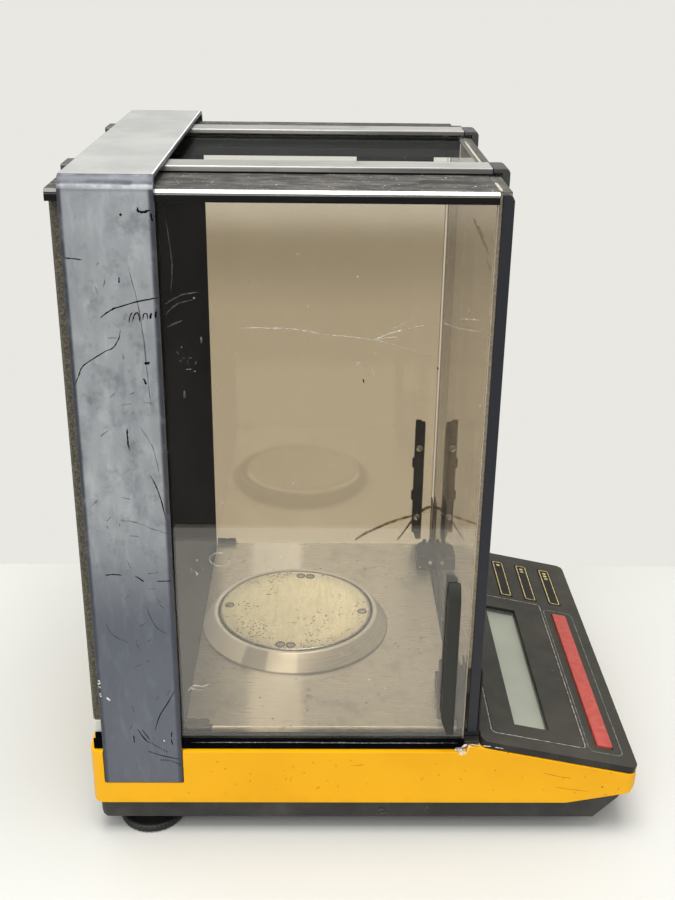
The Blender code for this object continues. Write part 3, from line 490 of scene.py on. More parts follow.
def nylon():
    """White nylon gone slightly yellow."""
    g = Graph("nylon")
    base = g.mix(g.patches(0.4, 0.7, 0.003, 4), tone(214, 210, 200), tone(196, 190, 176))
    return g.surface(base, 0.5, 0.0, g.bump(g.noise(0.0008), 0.00008), Subsurface_Weight=0.1)


def rubber():
    """Matt black rubber with dust."""
    g = Graph("rubber")
    dust = g.patches(0.5, 0.75, 0.006, 5, 0.6)
    base = g.mix(g.times(dust, 0.4), tone(28, 28, 28), tone(92, 90, 86))
    return g.surface(base, 0.78, 0.0, g.bump(g.noise(0.0006), 0.00012))


def lcd_grey():
    """Unlit display: grey-green, with a faint polariser sheen."""
    g = Graph("lcd_grey")
    cloud = g.patches(0.35, 0.7, 0.03, 3)
    base = g.mix(cloud, tone(148, 151, 136), tone(160, 163, 147))
    cell = g.patches(0.3, 0.7, 0.0005, 1)
    base = g.over(base, cell, 0.12, tone(132, 135, 121))
    return g.surface(base, 0.35, 0.0, g.bump(g.noise(0.001), 0.00002))


def printed(name, colour, worn_colour):
    """Screen-printed line on the panel, a little worn."""
    g = Graph(name)
    base = g.mix(g.patches(0.42, 0.62, 0.0018, 4), colour, worn_colour)
    return g.surface(base, 0.5, 0.1, g.bump(g.noise(0.0005), 0.00003))


def board_green():
    """Circuit board with its traces under the lacquer."""
    g = Graph("board_green")
    traces = g.window(g.specks(0.004, 0.6), 0.25, 0.3)
    base = g.mix(traces, tone(20, 86, 46), tone(30, 110, 62))
    return g.surface(base, 0.4, 0.0, g.bump(traces, 0.00005))


def plain_metal(name, base_tone, dark_tone, rough=(0.25, 0.4)):
    """Bare metal that is darker and duller in clouds."""
    g = Graph(name)
    cloud_size = 0.004
    cloud = g.patches(0.35, 0.72, cloud_size, 5, 0.6)
    base = g.mix(cloud, base_tone, dark_tone)
    return g.surface(base, g.between(cloud, *rough), 1.0, g.bump(g.noise(cloud_size / 6), 0.00003))


# ---- stainless steel -----------------------------------------------------------------------------
def floor_steel():
    """Brushed sheet with dried spills, dust and a few bright specks, a painted reflection lane across it and
    painted shade at the rear blocks.
    """
    g = Graph("floor_steel")
    brushed = g.noise(0.0006, 4, 0.6, g.stretched(1, 0.03, 1))
    base = g.mix(g.window(brushed, 0.25, 0.75), tone(225, 222, 215), tone(232, 229, 222))
    stain = g.patches(0.5, 0.72, 0.02, 6, 0.65)
    base = g.over(base, stain, 0.4, tone(140, 134, 122))
    # Painted reflection: a lighter, less metallic lane between two slanting lines, broken up by noise.
    slant = g.times(g.x, 0.0455)
    painted_light_band = g.times(g.window(g.minus(g.y, slant), y_at(64), y_at(71)),
                     g.window(g.minus(g.y, g.times(g.x, 0.017)), y_at(97),
                              y_at(91)))
    patchy = g.window(g.noise(0.012, 5, 0.65, g.stretched(0.25, 1, 1)), 0.2, 0.55, 0.65, 1.0)
    painted_light_band = g.times(painted_light_band, patchy)
    base = g.over(base, painted_light_band, 0.85, tone(255, 252, 243))
    blot = g.times(g.patches(0.56, 0.66, 0.004, 5, 0.7),
                   g.patches(0.5, 0.62, 0.03, 2))
    base = g.over(base, blot, 0.5, tone(98, 90, 76))
    dots = g.times(g.window(g.specks(0.006), 0.15, 0.06), g.patches(0.48, 0.56, 0.016, 3))
    base = g.over(base, dots, 0.8, tone(78, 68, 52))
    flecks = g.window(g.specks(0.013), 0.05, 0.02)
    base = g.mix(flecks, base, grey(240))
    rough = g.between(g.window(brushed, 0.3, 0.7), 0.26, 0.33)
    rough = g.plus(rough, g.times(stain, 0.16))
    # Painted shade on the floor under and beside the rear blocks.
    across = g.calc("ABSOLUTE", g.x)
    block_shade = g.times(g.window(across, 0.0868, 0.0872),
                     g.window(g.y, y_at(55.4), y_at(55)))
    base = g.mix(block_shade, base, tone(38, 36, 33))
    metal = g.between(g.larger(painted_light_band, block_shade), 0.88, 0.12)
    return g.surface(base, rough, metal, g.bump(brushed, 0.000018))


def around_pan(g):
    """Radius and angle about the pan's axis, for marks that run round it."""
    centre = round_box("weighing_pan")[2]
    dx = g.minus(g.x, centre.x)
    dy = g.minus(g.y, centre.y)
    radius = g.calc("SQRT", g.plus(g.times(dx, dx), g.times(dy, dy)))
    angle = g.calc("ARCTAN2", dy, dx)
    return radius, angle


def ring_steel():
    """Spun steel: fine lines run round the ring; painted light gives a lighter side, a dark reflection band,
    a highlight band, shadow at its foot and a highlight on its crest.
    """
    g = Graph("ring_steel")
    radius, angle = around_pan(g)
    spun = g.noise(0.00045, 4, 0.6, g.combine(radius, g.times(angle, 0.0006), g.z))
    base = g.mix(g.window(spun, 0.3, 0.7), tone(172, 169, 163), tone(200, 197, 190))
    stain = g.patches(0.55, 0.75, 0.009, 5, 0.6)
    base = g.over(base, stain, 0.3, tone(136, 128, 114))
    # Painted light: the side facing this way is made much lighter and less metallic.
    left = g.window(g.toward(angle, 110), 0.1, 0.8)
    base = g.over(base, left, 0.9, tone(255, 253, 246))
    # Painted dark reflection band.
    dark_reflection_band = g.window(g.toward(angle, 155), 0.986, 0.994)
    base = g.over(base, dark_reflection_band, 0.6, tone(120, 116, 110))
    # Painted highlight band.
    sheen = g.window(g.toward(angle, 174), 0.985, 0.994)
    base = g.over(base, sheen, 0.6, tone(252, 250, 243))
    foot, crest = (corner.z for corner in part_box("draft_ring"))
    # Painted shadow along the ring's foot and painted highlight along its crest.
    base = g.mix(g.window(g.z, foot + 0.0011, foot + 0.0004, 0.0, 0.7), base, tone(84, 78, 66))
    base = g.mix(g.window(g.z, crest - 0.0005, crest - 0.0001, 0.0, 0.6), base, tone(252, 250, 243))
    metal = g.between(left, 0.6, 0.05)
    return g.surface(base, g.between(g.window(spun, 0.3, 0.7), 0.32, 0.42), metal, g.bump(spun, 0.00003))


def pan_steel():
    """Blasted pan: pale and matte, with corrosion dots gathered at one side, painted shade towards its edge
    and a bright rim.
    """
    rim_start = round_box("weighing_pan")[3] - 0.0014
    g = Graph("pan_steel")
    radius, angle = around_pan(g)
    grain = g.noise(0.0009, 4, 0.7)
    streak = g.noise(0.0016, 4, 0.6, g.stretched(0.2, 1, 1))
    base = g.mix(g.window(grain, 0.3, 0.7), tone(246, 236, 200), tone(255, 254, 224))
    base = g.over(base, g.window(streak, 0.42, 0.66), 0.28, tone(204, 190, 152))
    vein = g.noise(0.006, 5, 0.65, g.stretched(0.35, 1, 1))
    base = g.mix(g.window(vein, 0.56, 0.64, 0.0, 0.18), base, tone(186, 170, 132))
    # Painted shade darkening the pan towards its rim.
    edge = g.window(radius, 0.029, 0.0372)
    base = g.over(base, edge, 0.45, tone(184, 178, 162))
    toward_viewer = g.times(g.toward(angle, 150), 0.09)
    where = g.plus(g.times(edge, 0.08), g.plus(g.noise(0.018, 3), toward_viewer))
    dots = g.times(g.window(g.specks(0.0019), 0.34, 0.2), g.window(where, 0.49, 0.56))
    base = g.over(base, dots, 0.9, tone(92, 76, 50))
    rim = g.window(radius, rim_start, rim_start + 0.0005)
    rough = g.between(rim, 0.6, 0.25)
    base = g.mix(rim, base, tone(214, 211, 205))
    relief = g.bump(g.plus(g.times(grain, 0.5), g.times(dots, -0.5)), 0.00012)
    return g.surface(base, rough, rim, relief)


# ---- glass ---------------------------------------------------------------------------------------
GLASS_FACE_GLOSS = 0.04                 # share mirrored head on by one face


def painted_reflection_tint(g, tint, upper):
    """The tint made pale along the plate's top and darker in a band below, with a painted reflection near its
    foot: a darker crescent holding a pale arc.
    """
    soft_edge = g.times(g.noise(0.08, 3), 0.008)
    height = g.minus(g.plus(g.z, soft_edge), BAND_FOOT + 0.004)
    outer, inner = g.oval(at(0, 92, 79.4), 0.039, 0.0205), g.oval(at(0, 93.9, 85.0), 0.0327, 0.0153)
    # Painted reflection: a darker crescent between two ovals.
    crescent = g.times(g.window(outer, 1.05, 0.93), g.window(inner, 0.97, 1.0, 0.35, 1.0))
    darker = g.larger(g.band(height, 0.176, 0.212, 0.222, 0.240), g.times(crescent, 0.55))
    tint = g.mix(darker, tint, tuple(0.88 * channel for channel in upper))
    # Pale arc along the inner oval, part of the painted reflection.
    arc = g.times(g.band(inner, 0.945, 0.97, 1.005, 1.03), g.window(g.z, z_at(85), z_at(79), 0.0, 0.7))
    tint = g.mix(arc, tint, (0.97, 0.94, 0.88))
    return g.mix(g.window(height, 0.216, 0.242, 0.0, 0.9), tint, (0.99, 0.985, 0.965))


def glass(name, upper, lower, film=0.012, head_on=GLASS_FACE_GLOSS, grazing=1.0, power=5.0,
          painted_reflection=False):
    """Tinted plate: each face lets light through by its tint and mirrors more at a grazing angle.
    upper and lower are the tints of one face at the top and the bottom, film its cover of dust."""
    g = Graph(name)
    tint = g.mix(g.window(g.z, 0.06, 0.29), lower, upper)
    if painted_reflection:
        tint = painted_reflection_tint(g, tint, upper)
    clear = g.add("BsdfTransparent", Color=tint)
    facing = g.add("LayerWeight", Blend=0.5).outputs["Facing"]
    mirrored = g.between(g.calc("POWER", facing, power), head_on, grazing)
    gloss = g.add("BsdfGlossy", Color=(1.0, 1.0, 1.0), Roughness=0.012)
    plate = g.blend(mirrored, clear, gloss)
    dust = g.times(g.patches(0.3, 0.8, 0.05, 6, 0.7, g.stretched(1, 1, 0.4)), film)
    speck = g.times(g.window(g.specks(0.011), 0.045, 0.02), 0.5)
    grime = g.window(g.z, BAND_FOOT + 0.135, BAND_FOOT + 0.085, 0.0, 2.5 * film)
    cover = g.larger(g.larger(dust, speck), g.times(grime, g.patches(0.2, 0.6, 0.05, 4)))
    haze = g.add("BsdfDiffuse", Color=tone(235, 232, 225))
    return g.finish(g.blend(cover, plate, haze).outputs[0])


def ground_edge(name, dark, pale, top_tone=None):
    """Matt cut edge of a glass plate: lit from behind as well as in front. Given another tone for its
    upper edge, the plate is also grimy low down at its left-hand end."""
    g = Graph(name)
    ripple = g.patches(0.35, 0.7, 0.0015, 4, 0.6)
    base = g.mix(ripple, dark, pale)
    if top_tone is not None:
        streak = g.patches(0.4, 0.7, 0.003, 5, 0.6, g.stretched(0.2, 1, 1))
        above = g.mix(streak, top_tone, tuple(1.5 * channel for channel in top_tone))
        base = g.mix(g.window(g.z, 0.2970, 0.2975), base, above)
        grime = g.mix(g.patches(0.4, 0.65, 0.003, 5, 0.65, g.stretched(1, 1, 0.4)), tone(52, 50, 45),
                      tone(120, 112, 98))
        low_left = g.times(g.window(g.z, BAND_FOOT + 0.0700, BAND_FOOT + 0.0685),
                           g.window(g.x, 0.0, -0.01))
        base = g.over(base, low_left, 0.9, grime)
    front = g.add("BsdfDiffuse", Color=base)
    through = g.add("BsdfTranslucent", Color=base)
    return g.finish(g.blend(0.5, front, through).outputs[0])


def scratch(name, colour, cover=1.0):
    """Scored or smeared line; a cover under 1 lets what is beneath show through."""
    g = Graph(name)
    broken = g.patches(0.3, 0.6, 0.0016, 3)
    base = g.mix(broken, colour, tuple(channel * 0.7 for channel in colour))
    body = g.add("BsdfDiffuse", Color=base)
    if cover >= 1:
        return g.finish(body.outputs[0])
    clear = g.add("BsdfTransparent", Color=(1.0, 1.0, 1.0))
    return g.finish(g.blend(g.between(broken, cover, cover * 0.6), clear, body).outputs[0])


def aged_clear():
    """Clear plastic gone brown and cloudy, with scuffs running down it."""
    g = Graph("aged_clear")
    mottle = g.patches(0.38, 0.66, 0.004, 6, 0.7, g.stretched(1, 1, 0.4))
    clear = g.add("BsdfTransparent", Color=g.mix(mottle, (0.80, 0.76, 0.67), (0.62, 0.57, 0.48)))
    body = g.add("BsdfDiffuse", Color=g.mix(mottle, tone(120, 110, 92), tone(60, 56, 48)))
    return g.finish(g.blend(g.between(mottle, 0.22, 0.62), clear, body).outputs[0])


def crack_glass():
    """Fracture face: dark where the light leaves it, with a golden glint."""
    g = Graph("crack_glass")
    glint = g.patches(0.45, 0.65, 0.004, 4)
    base = g.mix(glint, tone(56, 44, 24), tone(206, 172, 100))
    return g.surface(base, 0.2, 0.3, g.bump(g.noise(0.001), 0.0001))


# ---- piece building ------------------------------------------------------------------------------
def new_piece(name, bm, *materials, smooth_angle=40):
    """A piece from a finished mesh; edges sharper than smooth_angle degrees stay sharp."""
    bmesh.ops.recalc_face_normals(bm, faces=bm.faces)
    mesh = bpy.data.meshes.new(name)
    bm.to_mesh(mesh)
    bm.free()
    mesh.shade_smooth()
    mesh.set_sharp_from_angle(angle=math.radians(smooth_angle))
    piece = bpy.data.objects.new(name, mesh)
    bpy.context.scene.collection.objects.link(piece)
    for material in materials:
        mesh.materials.append(material)
    return piece


def stand_in(piece, *nodes):
    """The piece shows in place of these CAD nodes and moves with the first one's body."""
    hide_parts(*nodes)
    return attach(piece, nodes[0])


def attach(piece, node):
    """The piece moves with the node's body."""
    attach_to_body(piece, frame["nodes"][node]["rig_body"])
    return piece


def cad_mesh(node):
    """The node's shape with its triangles merged into whole faces."""
    bm = bmesh.new()
    bm.from_mesh(frame["nodes"][node].data)
    bmesh.ops.remove_doubles(bm, verts=bm.verts, dist=2e-6)
    bmesh.ops.dissolve_limit(bm, angle_limit=math.radians(0.6), verts=bm.verts, edges=bm.edges)
    bmesh.ops.recalc_face_normals(bm, faces=bm.faces)
    return bm


def keep_modified(piece):
    """Makes the shape that the piece's modifiers give its own, and drops them."""
    graph = bpy.context.evaluated_depsgraph_get()
    final = bpy.data.meshes.new_from_object(piece.evaluated_get(graph))
    piece.modifiers.clear()
    old = piece.data
    piece.data = final
    bpy.data.meshes.remove(old)
    final.name = piece.name
    return final


def round_edges(piece, width_mm, segments, angle):
    """Rounds the piece's sharp edges and keeps its flat faces flat-looking."""
    bevel = piece.modifiers.new("Bevel", "BEVEL")
    bevel.width = width_mm * MM
    bevel.segments = segments
    bevel.limit_method = "ANGLE"
    bevel.angle_limit = math.radians(angle)
    bevel.use_clamp_overlap = True
    bevel.harden_normals = False
    normals = piece.modifiers.new("Normals", "WEIGHTED_NORMAL")
    normals.keep_sharp = False
    keep_modified(piece)
    return piece


def rounded_piece(name, bm, material, width_mm, segments=2, angle=32):
    """A new piece with its sharp edges rounded."""
    piece = new_piece(name, bm, material, smooth_angle=180)
    return round_edges(piece, width_mm, segments, angle)


def refined(node, material, width_mm, segments):
    """The CAD node's own shape with rounded edges and a real finish, standing in for it."""
    bm = cad_mesh(node)
    for face in bm.faces:
        face.material_index = 0
    return stand_in(rounded_piece(node + "_fine", bm, material, width_mm, segments), node)


GLASS_CHAMFER = 0.00025


def plate_glass(node, face_material, edge_material, axis):
    """A glass plate with small ground chamfers; faces across the axis are clear, the rest are matt."""
    bm = cad_mesh(node)
    piece = new_piece(node + "_fine", bm, face_material, edge_material, smooth_angle=180)
    bevel = piece.modifiers.new("Bevel", "BEVEL")
    bevel.width = GLASS_CHAMFER
    bevel.segments = 1
    for face in keep_modified(piece).polygons:
        face.use_smooth = False
        face.material_index = 0 if abs(face.normal[axis]) > 0.99 else 1
    return stand_in(piece, node)


def turned_mesh(profile, centre, sides, wave=None):
    """Profile points (radius, height) in metres spun about the vertical through centre. wave(angle)
    scales the radius of the points whose third value is true."""
    bm = bmesh.new()
    rings = []
    for point in profile:
        radius, height = point[:2]
        if radius == 0:
            rings.append([bm.verts.new((centre[0], centre[1], height))])
            continue
        ring = []
        for i in range(sides):
            angle = 2 * math.pi * i / sides
            here = radius * (wave(angle) if wave and len(point) > 2 else 1)
            ring.append(bm.verts.new((centre[0] + here * math.cos(angle), centre[1] + here * math.sin(angle),
                                      height)))
        rings.append(ring)
    pairs = list(zip(rings, rings[1:]))
    if profile[0][0] > 0 and profile[-1][0] > 0:
        pairs.append((rings[-1], rings[0]))
    for lower, upper in pairs:
        for i in range(sides):
            j = (i + 1) % sides
            corners = [lower[i % len(lower)], lower[j % len(lower)], upper[j % len(upper)],
                       upper[i % len(upper)]]
            bm.faces.new(list(dict.fromkeys(corners)))
    return bm


def extruded_mesh(outline, start, end, to_point):
    """A closed outline of (a, b) swept from start to end."""
    bm = bmesh.new()
    first = [bm.verts.new(to_point(a, b, start)) for a, b in outline]
    last = [bm.verts.new(to_point(a, b, end)) for a, b in outline]
    bm.faces.new(first)
    bm.faces.new(reversed(last))
    for i in range(len(outline)):
        j = (i + 1) % len(outline)
        bm.faces.new((first[i], last[i], last[j], first[j]))
    return bm


def rounded_loop(a0, a1, b0, b1, radius, steps=6):
    """Points round a rectangle with rounded corners."""
    corners = [(a1 - radius, b1 - radius, 0), (a0 + radius, b1 - radius, 90),
               (a0 + radius, b0 + radius, 180), (a1 - radius, b0 + radius, 270)]
    points = []
    for ca, cb, start in corners:
        for i in range(steps + 1):
            angle = math.radians(start + 90 * i / steps)
            points.append((ca + radius * math.cos(angle), cb + radius * math.sin(angle)))
    return points


def frame_mesh(outer, inner, low, high, to_point):
    """A flat frame between two loops with the same number of points."""
    bm = bmesh.new()
    rings = [[bm.verts.new(to_point(a, b, level)) for a, b in loop]
             for loop, level in ((outer, low), (outer, high), (inner, high), (inner, low))]
    for k in range(4):
        one, two = rings[k], rings[(k + 1) % 4]
        for i in range(len(outer)):
            j = (i + 1) % len(outer)
            bm.faces.new((one[i], one[j], two[j], two[i]))
    return bm


# ---- scored, chipped and smeared lines -----------------------------------------------------------
LINE_LIFT = 0.00003                     # how far a line stands off the surface it marks


def smooth_path(points, steps=5):
    """The points joined by a curve that runs through all of them."""
    path = []
    for i in range(len(points) - 1):
        before, start = points[max(i - 1, 0)], points[i]
        end, after = points[i + 1], points[min(i + 2, len(points) - 1)]
        for k in range(steps):
            t = k / steps
            path.append(tuple(0.5 * (2 * b + (c - a) * t + (2 * a - 5 * b + 4 * c - d) * t * t
                                     + (3 * b - a - 3 * c + d) * t ** 3)
                              for a, b, c, d in zip(before, start, end, after)))
    return path + [points[-1]]


def add_line(bm, points, width_mm, to_point, low, high, chance, ragged):
    """A thin raised line with tapered ends; ragged is how much its width and course vary."""
    path = smooth_path(points)
    rings = []
    for i, (a, b) in enumerate(path):
        before, after = path[max(i - 1, 0)], path[min(i + 1, len(path) - 1)]
        da, db = after[0] - before[0], after[1] - before[1]
        length = math.hypot(da, db) or 1.0
        from_end = min(i, len(path) - 1 - i) / max(len(path) / 6, 1)
        half = width_mm / 2 * (0.25 + 0.75 * min(from_end, 1.0)) * (1 + ragged * chance.uniform(-1, 1))
        shift = width_mm * ragged * chance.uniform(-0.6, 0.6)
        na, nb = -db / length, da / length
        ring = []
        for side, level in ((-1, low), (1, low), (1, high), (-1, high)):
            reach = shift + side * half
            ring.append(bm.verts.new(to_point(a + na * reach, b + nb * reach, level)))
        rings.append(ring)
    bm.faces.new(rings[0])
    bm.faces.new(reversed(rings[-1]))
    for one, two in zip(rings, rings[1:]):
        for i in range(4):
            j = (i + 1) % 4
            bm.faces.new((one[i], one[j], two[j], two[i]))


def side_marks(name, lines, x_mm, material, node, seed, ragged=0.3, thickness_mm=0.0):
    """Lines on an upright face at x_mm, each a width in millimetres and points (u, h)."""
    chance = random.Random(seed)
    outward = math.copysign(LINE_LIFT / MM, x_mm)
    bm = bmesh.new()
    for width_mm, points in lines:
        add_line(bm, points, width_mm, lambda u, h, x: at(x, u, h), x_mm - outward - thickness_mm,
                 x_mm + outward, chance, ragged)
    return attach(new_piece(name, bm, material, smooth_angle=180), node)


def scattered_dashes(path, count, length, spread, seed):
    """Short lines strewn along a path, in the path's own units."""
    chance = random.Random(seed)
    curve = smooth_path(path, 8)
    dashes = []
    for _ in range(count):
        a, b = curve[chance.randrange(len(curve))]
        a, b = a + chance.uniform(-spread, spread), b + chance.uniform(-spread, spread)
        turn, reach = chance.uniform(0, math.pi), length * chance.uniform(0.3, 1.0)
        da, db = reach * math.cos(turn), reach * math.sin(turn)
        dashes.append([(a - da, b - db), (a, b), (a + da, b + db)])
    return dashes


def screw_mesh(radius, height, slot_width, slot_depth):
    """A pan-head screw with a slot, standing on z = 0."""
    rounded, sides = 0.35, 28
    bm = bmesh.new()
    levels = [(1.0, 0.0), (1.0, height * (1 - rounded)), (0.9, height * (1 - rounded * 0.4)), (0.66, height)]
    turns = [2 * math.pi * i / sides for i in range(sides)]
    rings = [[bm.verts.new((radius * share * math.cos(turn), radius * share * math.sin(turn), z))
              for turn in turns] for share, z in levels]
    bm.faces.new(rings[0])
    for lower, upper in zip(rings, rings[1:]):
        for i in range(sides):
            j = (i + 1) % sides
            bm.faces.new((lower[i], lower[j], upper[j], upper[i]))
    bm.faces.new(rings[-1])
    bmesh.ops.recalc_face_normals(bm, faces=bm.faces)
    head = new_piece("head", bm)
    cutter_mesh = bmesh.new()
    bmesh.ops.create_cube(cutter_mesh, size=1.0, matrix=Matrix.Translation((0, 0, height))
                          @ Matrix.Diagonal((radius * 2.4, slot_width, slot_depth * 2, 1)))
    cutter = new_piece("cutter", cutter_mesh)
    boolean = head.modifiers.new("Slot", "BOOLEAN")
    boolean.operation = "DIFFERENCE"
    boolean.object = cutter
    boolean.solver = "EXACT"
    graph = bpy.context.evaluated_depsgraph_get()
    result = bmesh.new()
    result.from_mesh(head.evaluated_get(graph).data)
    for used in (head, cutter):
        used_mesh = used.data
        bpy.data.objects.remove(used)
        bpy.data.meshes.remove(used_mesh)
    return result


def place_screw(name, point, direction, radius, height, material, turn=0.3, slot_width=None):
    """A slotted screw head at a point, looking along a direction."""
    bm = screw_mesh(radius, height, slot_width or radius * 0.3, height * 0.5)
    aim = Vector(direction).to_track_quat("Z", "Y").to_matrix().to_4x4()
    bmesh.ops.transform(bm, verts=bm.verts,
                        matrix=Matrix.Translation(point) @ aim @ Matrix.Rotation(turn, 4, "Z"))
    return new_piece(name, bm, material, smooth_angle=30)


# ---- finishes used by more than one piece --------------------------------------------------------
PAINT = yellow_paint()
STRAP = strap_paint()
BLACK = dark_plastic("black_plastic", tone(30, 30, 30), tone(74, 73, 70))
TRAY = dark_plastic("tray_plastic", tone(46, 45, 44), tone(92, 90, 84), 0.45, 0.0007)
PANEL = dark_plastic("panel_black", tone(50, 48, 41), tone(74, 71, 62), 0.35, 0.0005, (0.5, 0.66),
                     side_tone=tone(30, 30, 33))
KEY = dark_plastic("key_brown", tone(24, 21, 13), tone(42, 37, 26), 0.35, 0.0004, (0.5, 0.65))
CAP = dark_plastic("cap_plastic", tone(58, 58, 58), tone(96, 95, 92), 0.4, 0.0004, (0.4, 0.52))
SLATE = dark_plastic("slate_plastic", tone(40, 41, 47), tone(64, 65, 71), 0.35, 0.0004, (0.4, 0.5), True)
PULL = dark_plastic("pull_plastic", tone(42, 42, 38), tone(76, 74, 67), 0.35, 0.0004, (0.4, 0.52), True)
BROWN = textured_brown()
METAL_BLACK = black_metal()
GUIDE = guide_black()
EDGE_BRIGHT = bright_edge()
RAIL = rail_grey()
RED = red_plastic()
NYLON = nylon()
RUBBER = rubber()
STEEL = plain_metal("steel", tone(196, 194, 188), tone(150, 147, 140))
ALUMINIUM = plain_metal("aluminium", tone(205, 206, 208), tone(176, 177, 180))
EYELET = plain_metal("eyelet_steel", tone(92, 84, 68), tone(60, 54, 44), (0.45, 0.6))
COPPER = plain_metal("copper", tone(206, 132, 86), tone(170, 98, 60))
BRASS = plain_metal("brass", tone(196, 158, 84), tone(120, 92, 48))
BOARD = board_green()
LCD = lcd_grey()
CRACK = crack_glass()
AGED = aged_clear()
GOLD_LINE = printed("gold_line", tone(196, 178, 122), tone(150, 134, 88))
PALE_LINE = printed("pale_line", tone(150, 147, 140), tone(92, 90, 84))
GREEN_LINE = printed("plate_line", tone(104, 108, 102), tone(74, 75, 70))
EDGE_GLASS = ground_edge("ground_edge", tone(214, 204, 184), tone(238, 231, 214))
PANE_EDGE_GLASS = ground_edge("pane_ground_edge", tone(170, 160, 142), tone(205, 196, 178),
                              tone(104, 104, 101))
LID_EDGE = ground_edge("lid_edge", tone(150, 156, 150), tone(176, 182, 176))
DOOR_GLASS = glass("left_door_glass", (0.89, 0.845, 0.77), (0.87, 0.825, 0.745), head_on=0.085)
PAINTED_REFLECTION_GLASS = glass("right_door_glass", (0.845, 0.80, 0.715), (0.89, 0.85, 0.775), painted_reflection=True)
PANE_GLASS = glass("front_pane_glass", (0.82, 0.77, 0.69), (0.85, 0.81, 0.74), power=4.2)
LID_GLASS = glass("lid_glass", (0.985, 0.99, 0.985), (0.985, 0.99, 0.985), 0.002, 0.008, 0.07)
WINDOW_GLASS = glass("window_glass", (0.97, 0.975, 0.965), (0.97, 0.975, 0.965), 0.01, 0.03)
SCRATCH_DARK = scratch("scratch_dark", tone(22, 23, 28))
SCRATCH_SOFT = scratch("scratch_soft", tone(58, 60, 68), 0.55)
SCRATCH_PALE = scratch("scratch_pale", tone(236, 232, 222))
SCRATCH_FAINT = scratch("scratch_faint", tone(236, 232, 222), 0.35)
SCRATCH_CLEAR = scratch("scratch_clear", tone(236, 232, 222), 0.62)
RUST_LINE = scratch("rust_line", tone(150, 100, 16), 0.5)
SCRATCH_GHOST = scratch("scratch_ghost", tone(236, 232, 222), 0.09)
SMUDGE = scratch("smudge", tone(92, 80, 62), 0.3)


# ---- base ----------------------------------------------------------------------------------------
def make_base():
    """Yellow housing, black tray with a screw at each side, and the four feet."""
    refined("base_housing", PAINT, 0.9, 3)
    refined("bottom_pan", TRAY, 0.7, 2)
    for side in ("left", "right"):
        make_levelling_foot("levelling_foot_" + side)
        make_front_foot("front_foot_" + side)
    low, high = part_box("bottom_pan")
    for sign, side in ((-1, "left"), (1, "right")):
        x = low.x if sign < 0 else high.x
        point = Vector((x - sign * 0.0004, y_at(133), BAND_FOOT - 0.0072))
        screw = place_screw("tray_screw_" + side, point, (sign, 0, 0), 0.0019, 0.0011, CAP)
        attach(screw, "bottom_pan")


def make_levelling_foot(node):
    """Knurled, dished thumb disc on a threaded stem."""
    low, high, centre, radius = round_box(node)
    floor = low.z
    ribs = 44

    def knurl(angle):
        return 1 - 0.022 * (0.5 + 0.5 * math.cos(ribs * angle)) ** 0.6

    profile = [(0, floor), (radius - 0.0016, floor), (radius - 0.0006, floor + 0.0003, True),
               (radius, floor + 0.0009, True), (radius, floor + 0.0027, True),
               (radius - 0.0005, floor + 0.0033, True), (radius - 0.0012, floor + 0.0036),
               (radius - 0.0022, floor + 0.0034), (radius - 0.0034, floor + 0.0026), (0.0075, floor + 0.0026),
               (0.0066, floor + 0.0031), (0.0060, floor + 0.0070), (0.0041, floor + 0.0073)]
    pitch, crest, root = 0.0011, 0.0040, 0.0035
    height = floor + 0.0076
    while height < high.z - 0.0014:
        profile += [(root, height), (crest, height + pitch * 0.5)]
        height += pitch
    profile += [(0.0033, high.z - 0.0004), (0.0028, high.z), (0, high.z)]
    bm = turned_mesh(profile, centre, ribs * 6, knurl)
    stand_in(new_piece(node + "_fine", bm, BLACK, smooth_angle=38), node)


def make_front_foot(node):
    """Plain rubber foot with a rounded rim."""
    low, high, centre, radius = round_box(node)
    profile = [(0, low.z + 0.0006), (radius * 0.62, low.z + 0.0006), (radius * 0.68, low.z),
               (radius * 0.88, low.z), (radius * 0.97, low.z + 0.0004), (radius, low.z + 0.0012),
               (radius * 0.97, low.z + 0.0028), (radius * 0.84, high.z - 0.0006),
               (radius * 0.8, high.z), (0, high.z)]
    stand_in(new_piece(node + "_fine", turned_mesh(profile, centre, 64), RUBBER), node)


# ---- strap and column ----------------------------------------------------------------------------
def make_strap():
    """Bent sheet with smooth corners and rolled front and rear edges."""
    low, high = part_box("column_strap")
    sheet, bend, steps = 0.0018, 0.0054, 14

    def corner(radius):
        points = []
        for i in range(steps + 1):
            angle = math.radians(90 * i / steps)
            points.append((high.x - bend + radius * math.cos(angle),
                           high.z - bend + radius * math.sin(angle)))
        return points

    outer, inner = corner(bend), corner(bend - sheet)
    outline = [(high.x, low.z)] + outer + [(-x, z) for x, z in reversed(outer)]
    outline += [(low.x, low.z), (low.x + sheet, low.z)]
    outline += [(-x, z) for x, z in inner] + list(reversed(inner)) + [(high.x - sheet, low.z)]
    bm = extruded_mesh(outline, low.y, high.y, lambda x, z, y: (x, y, z))
    stand_in(rounded_piece("column_strap_fine", bm, STRAP, 0.45, 3, 40), "column_strap")


STRAP_FACE = -95.2                      # the strap's left side, in millimetres


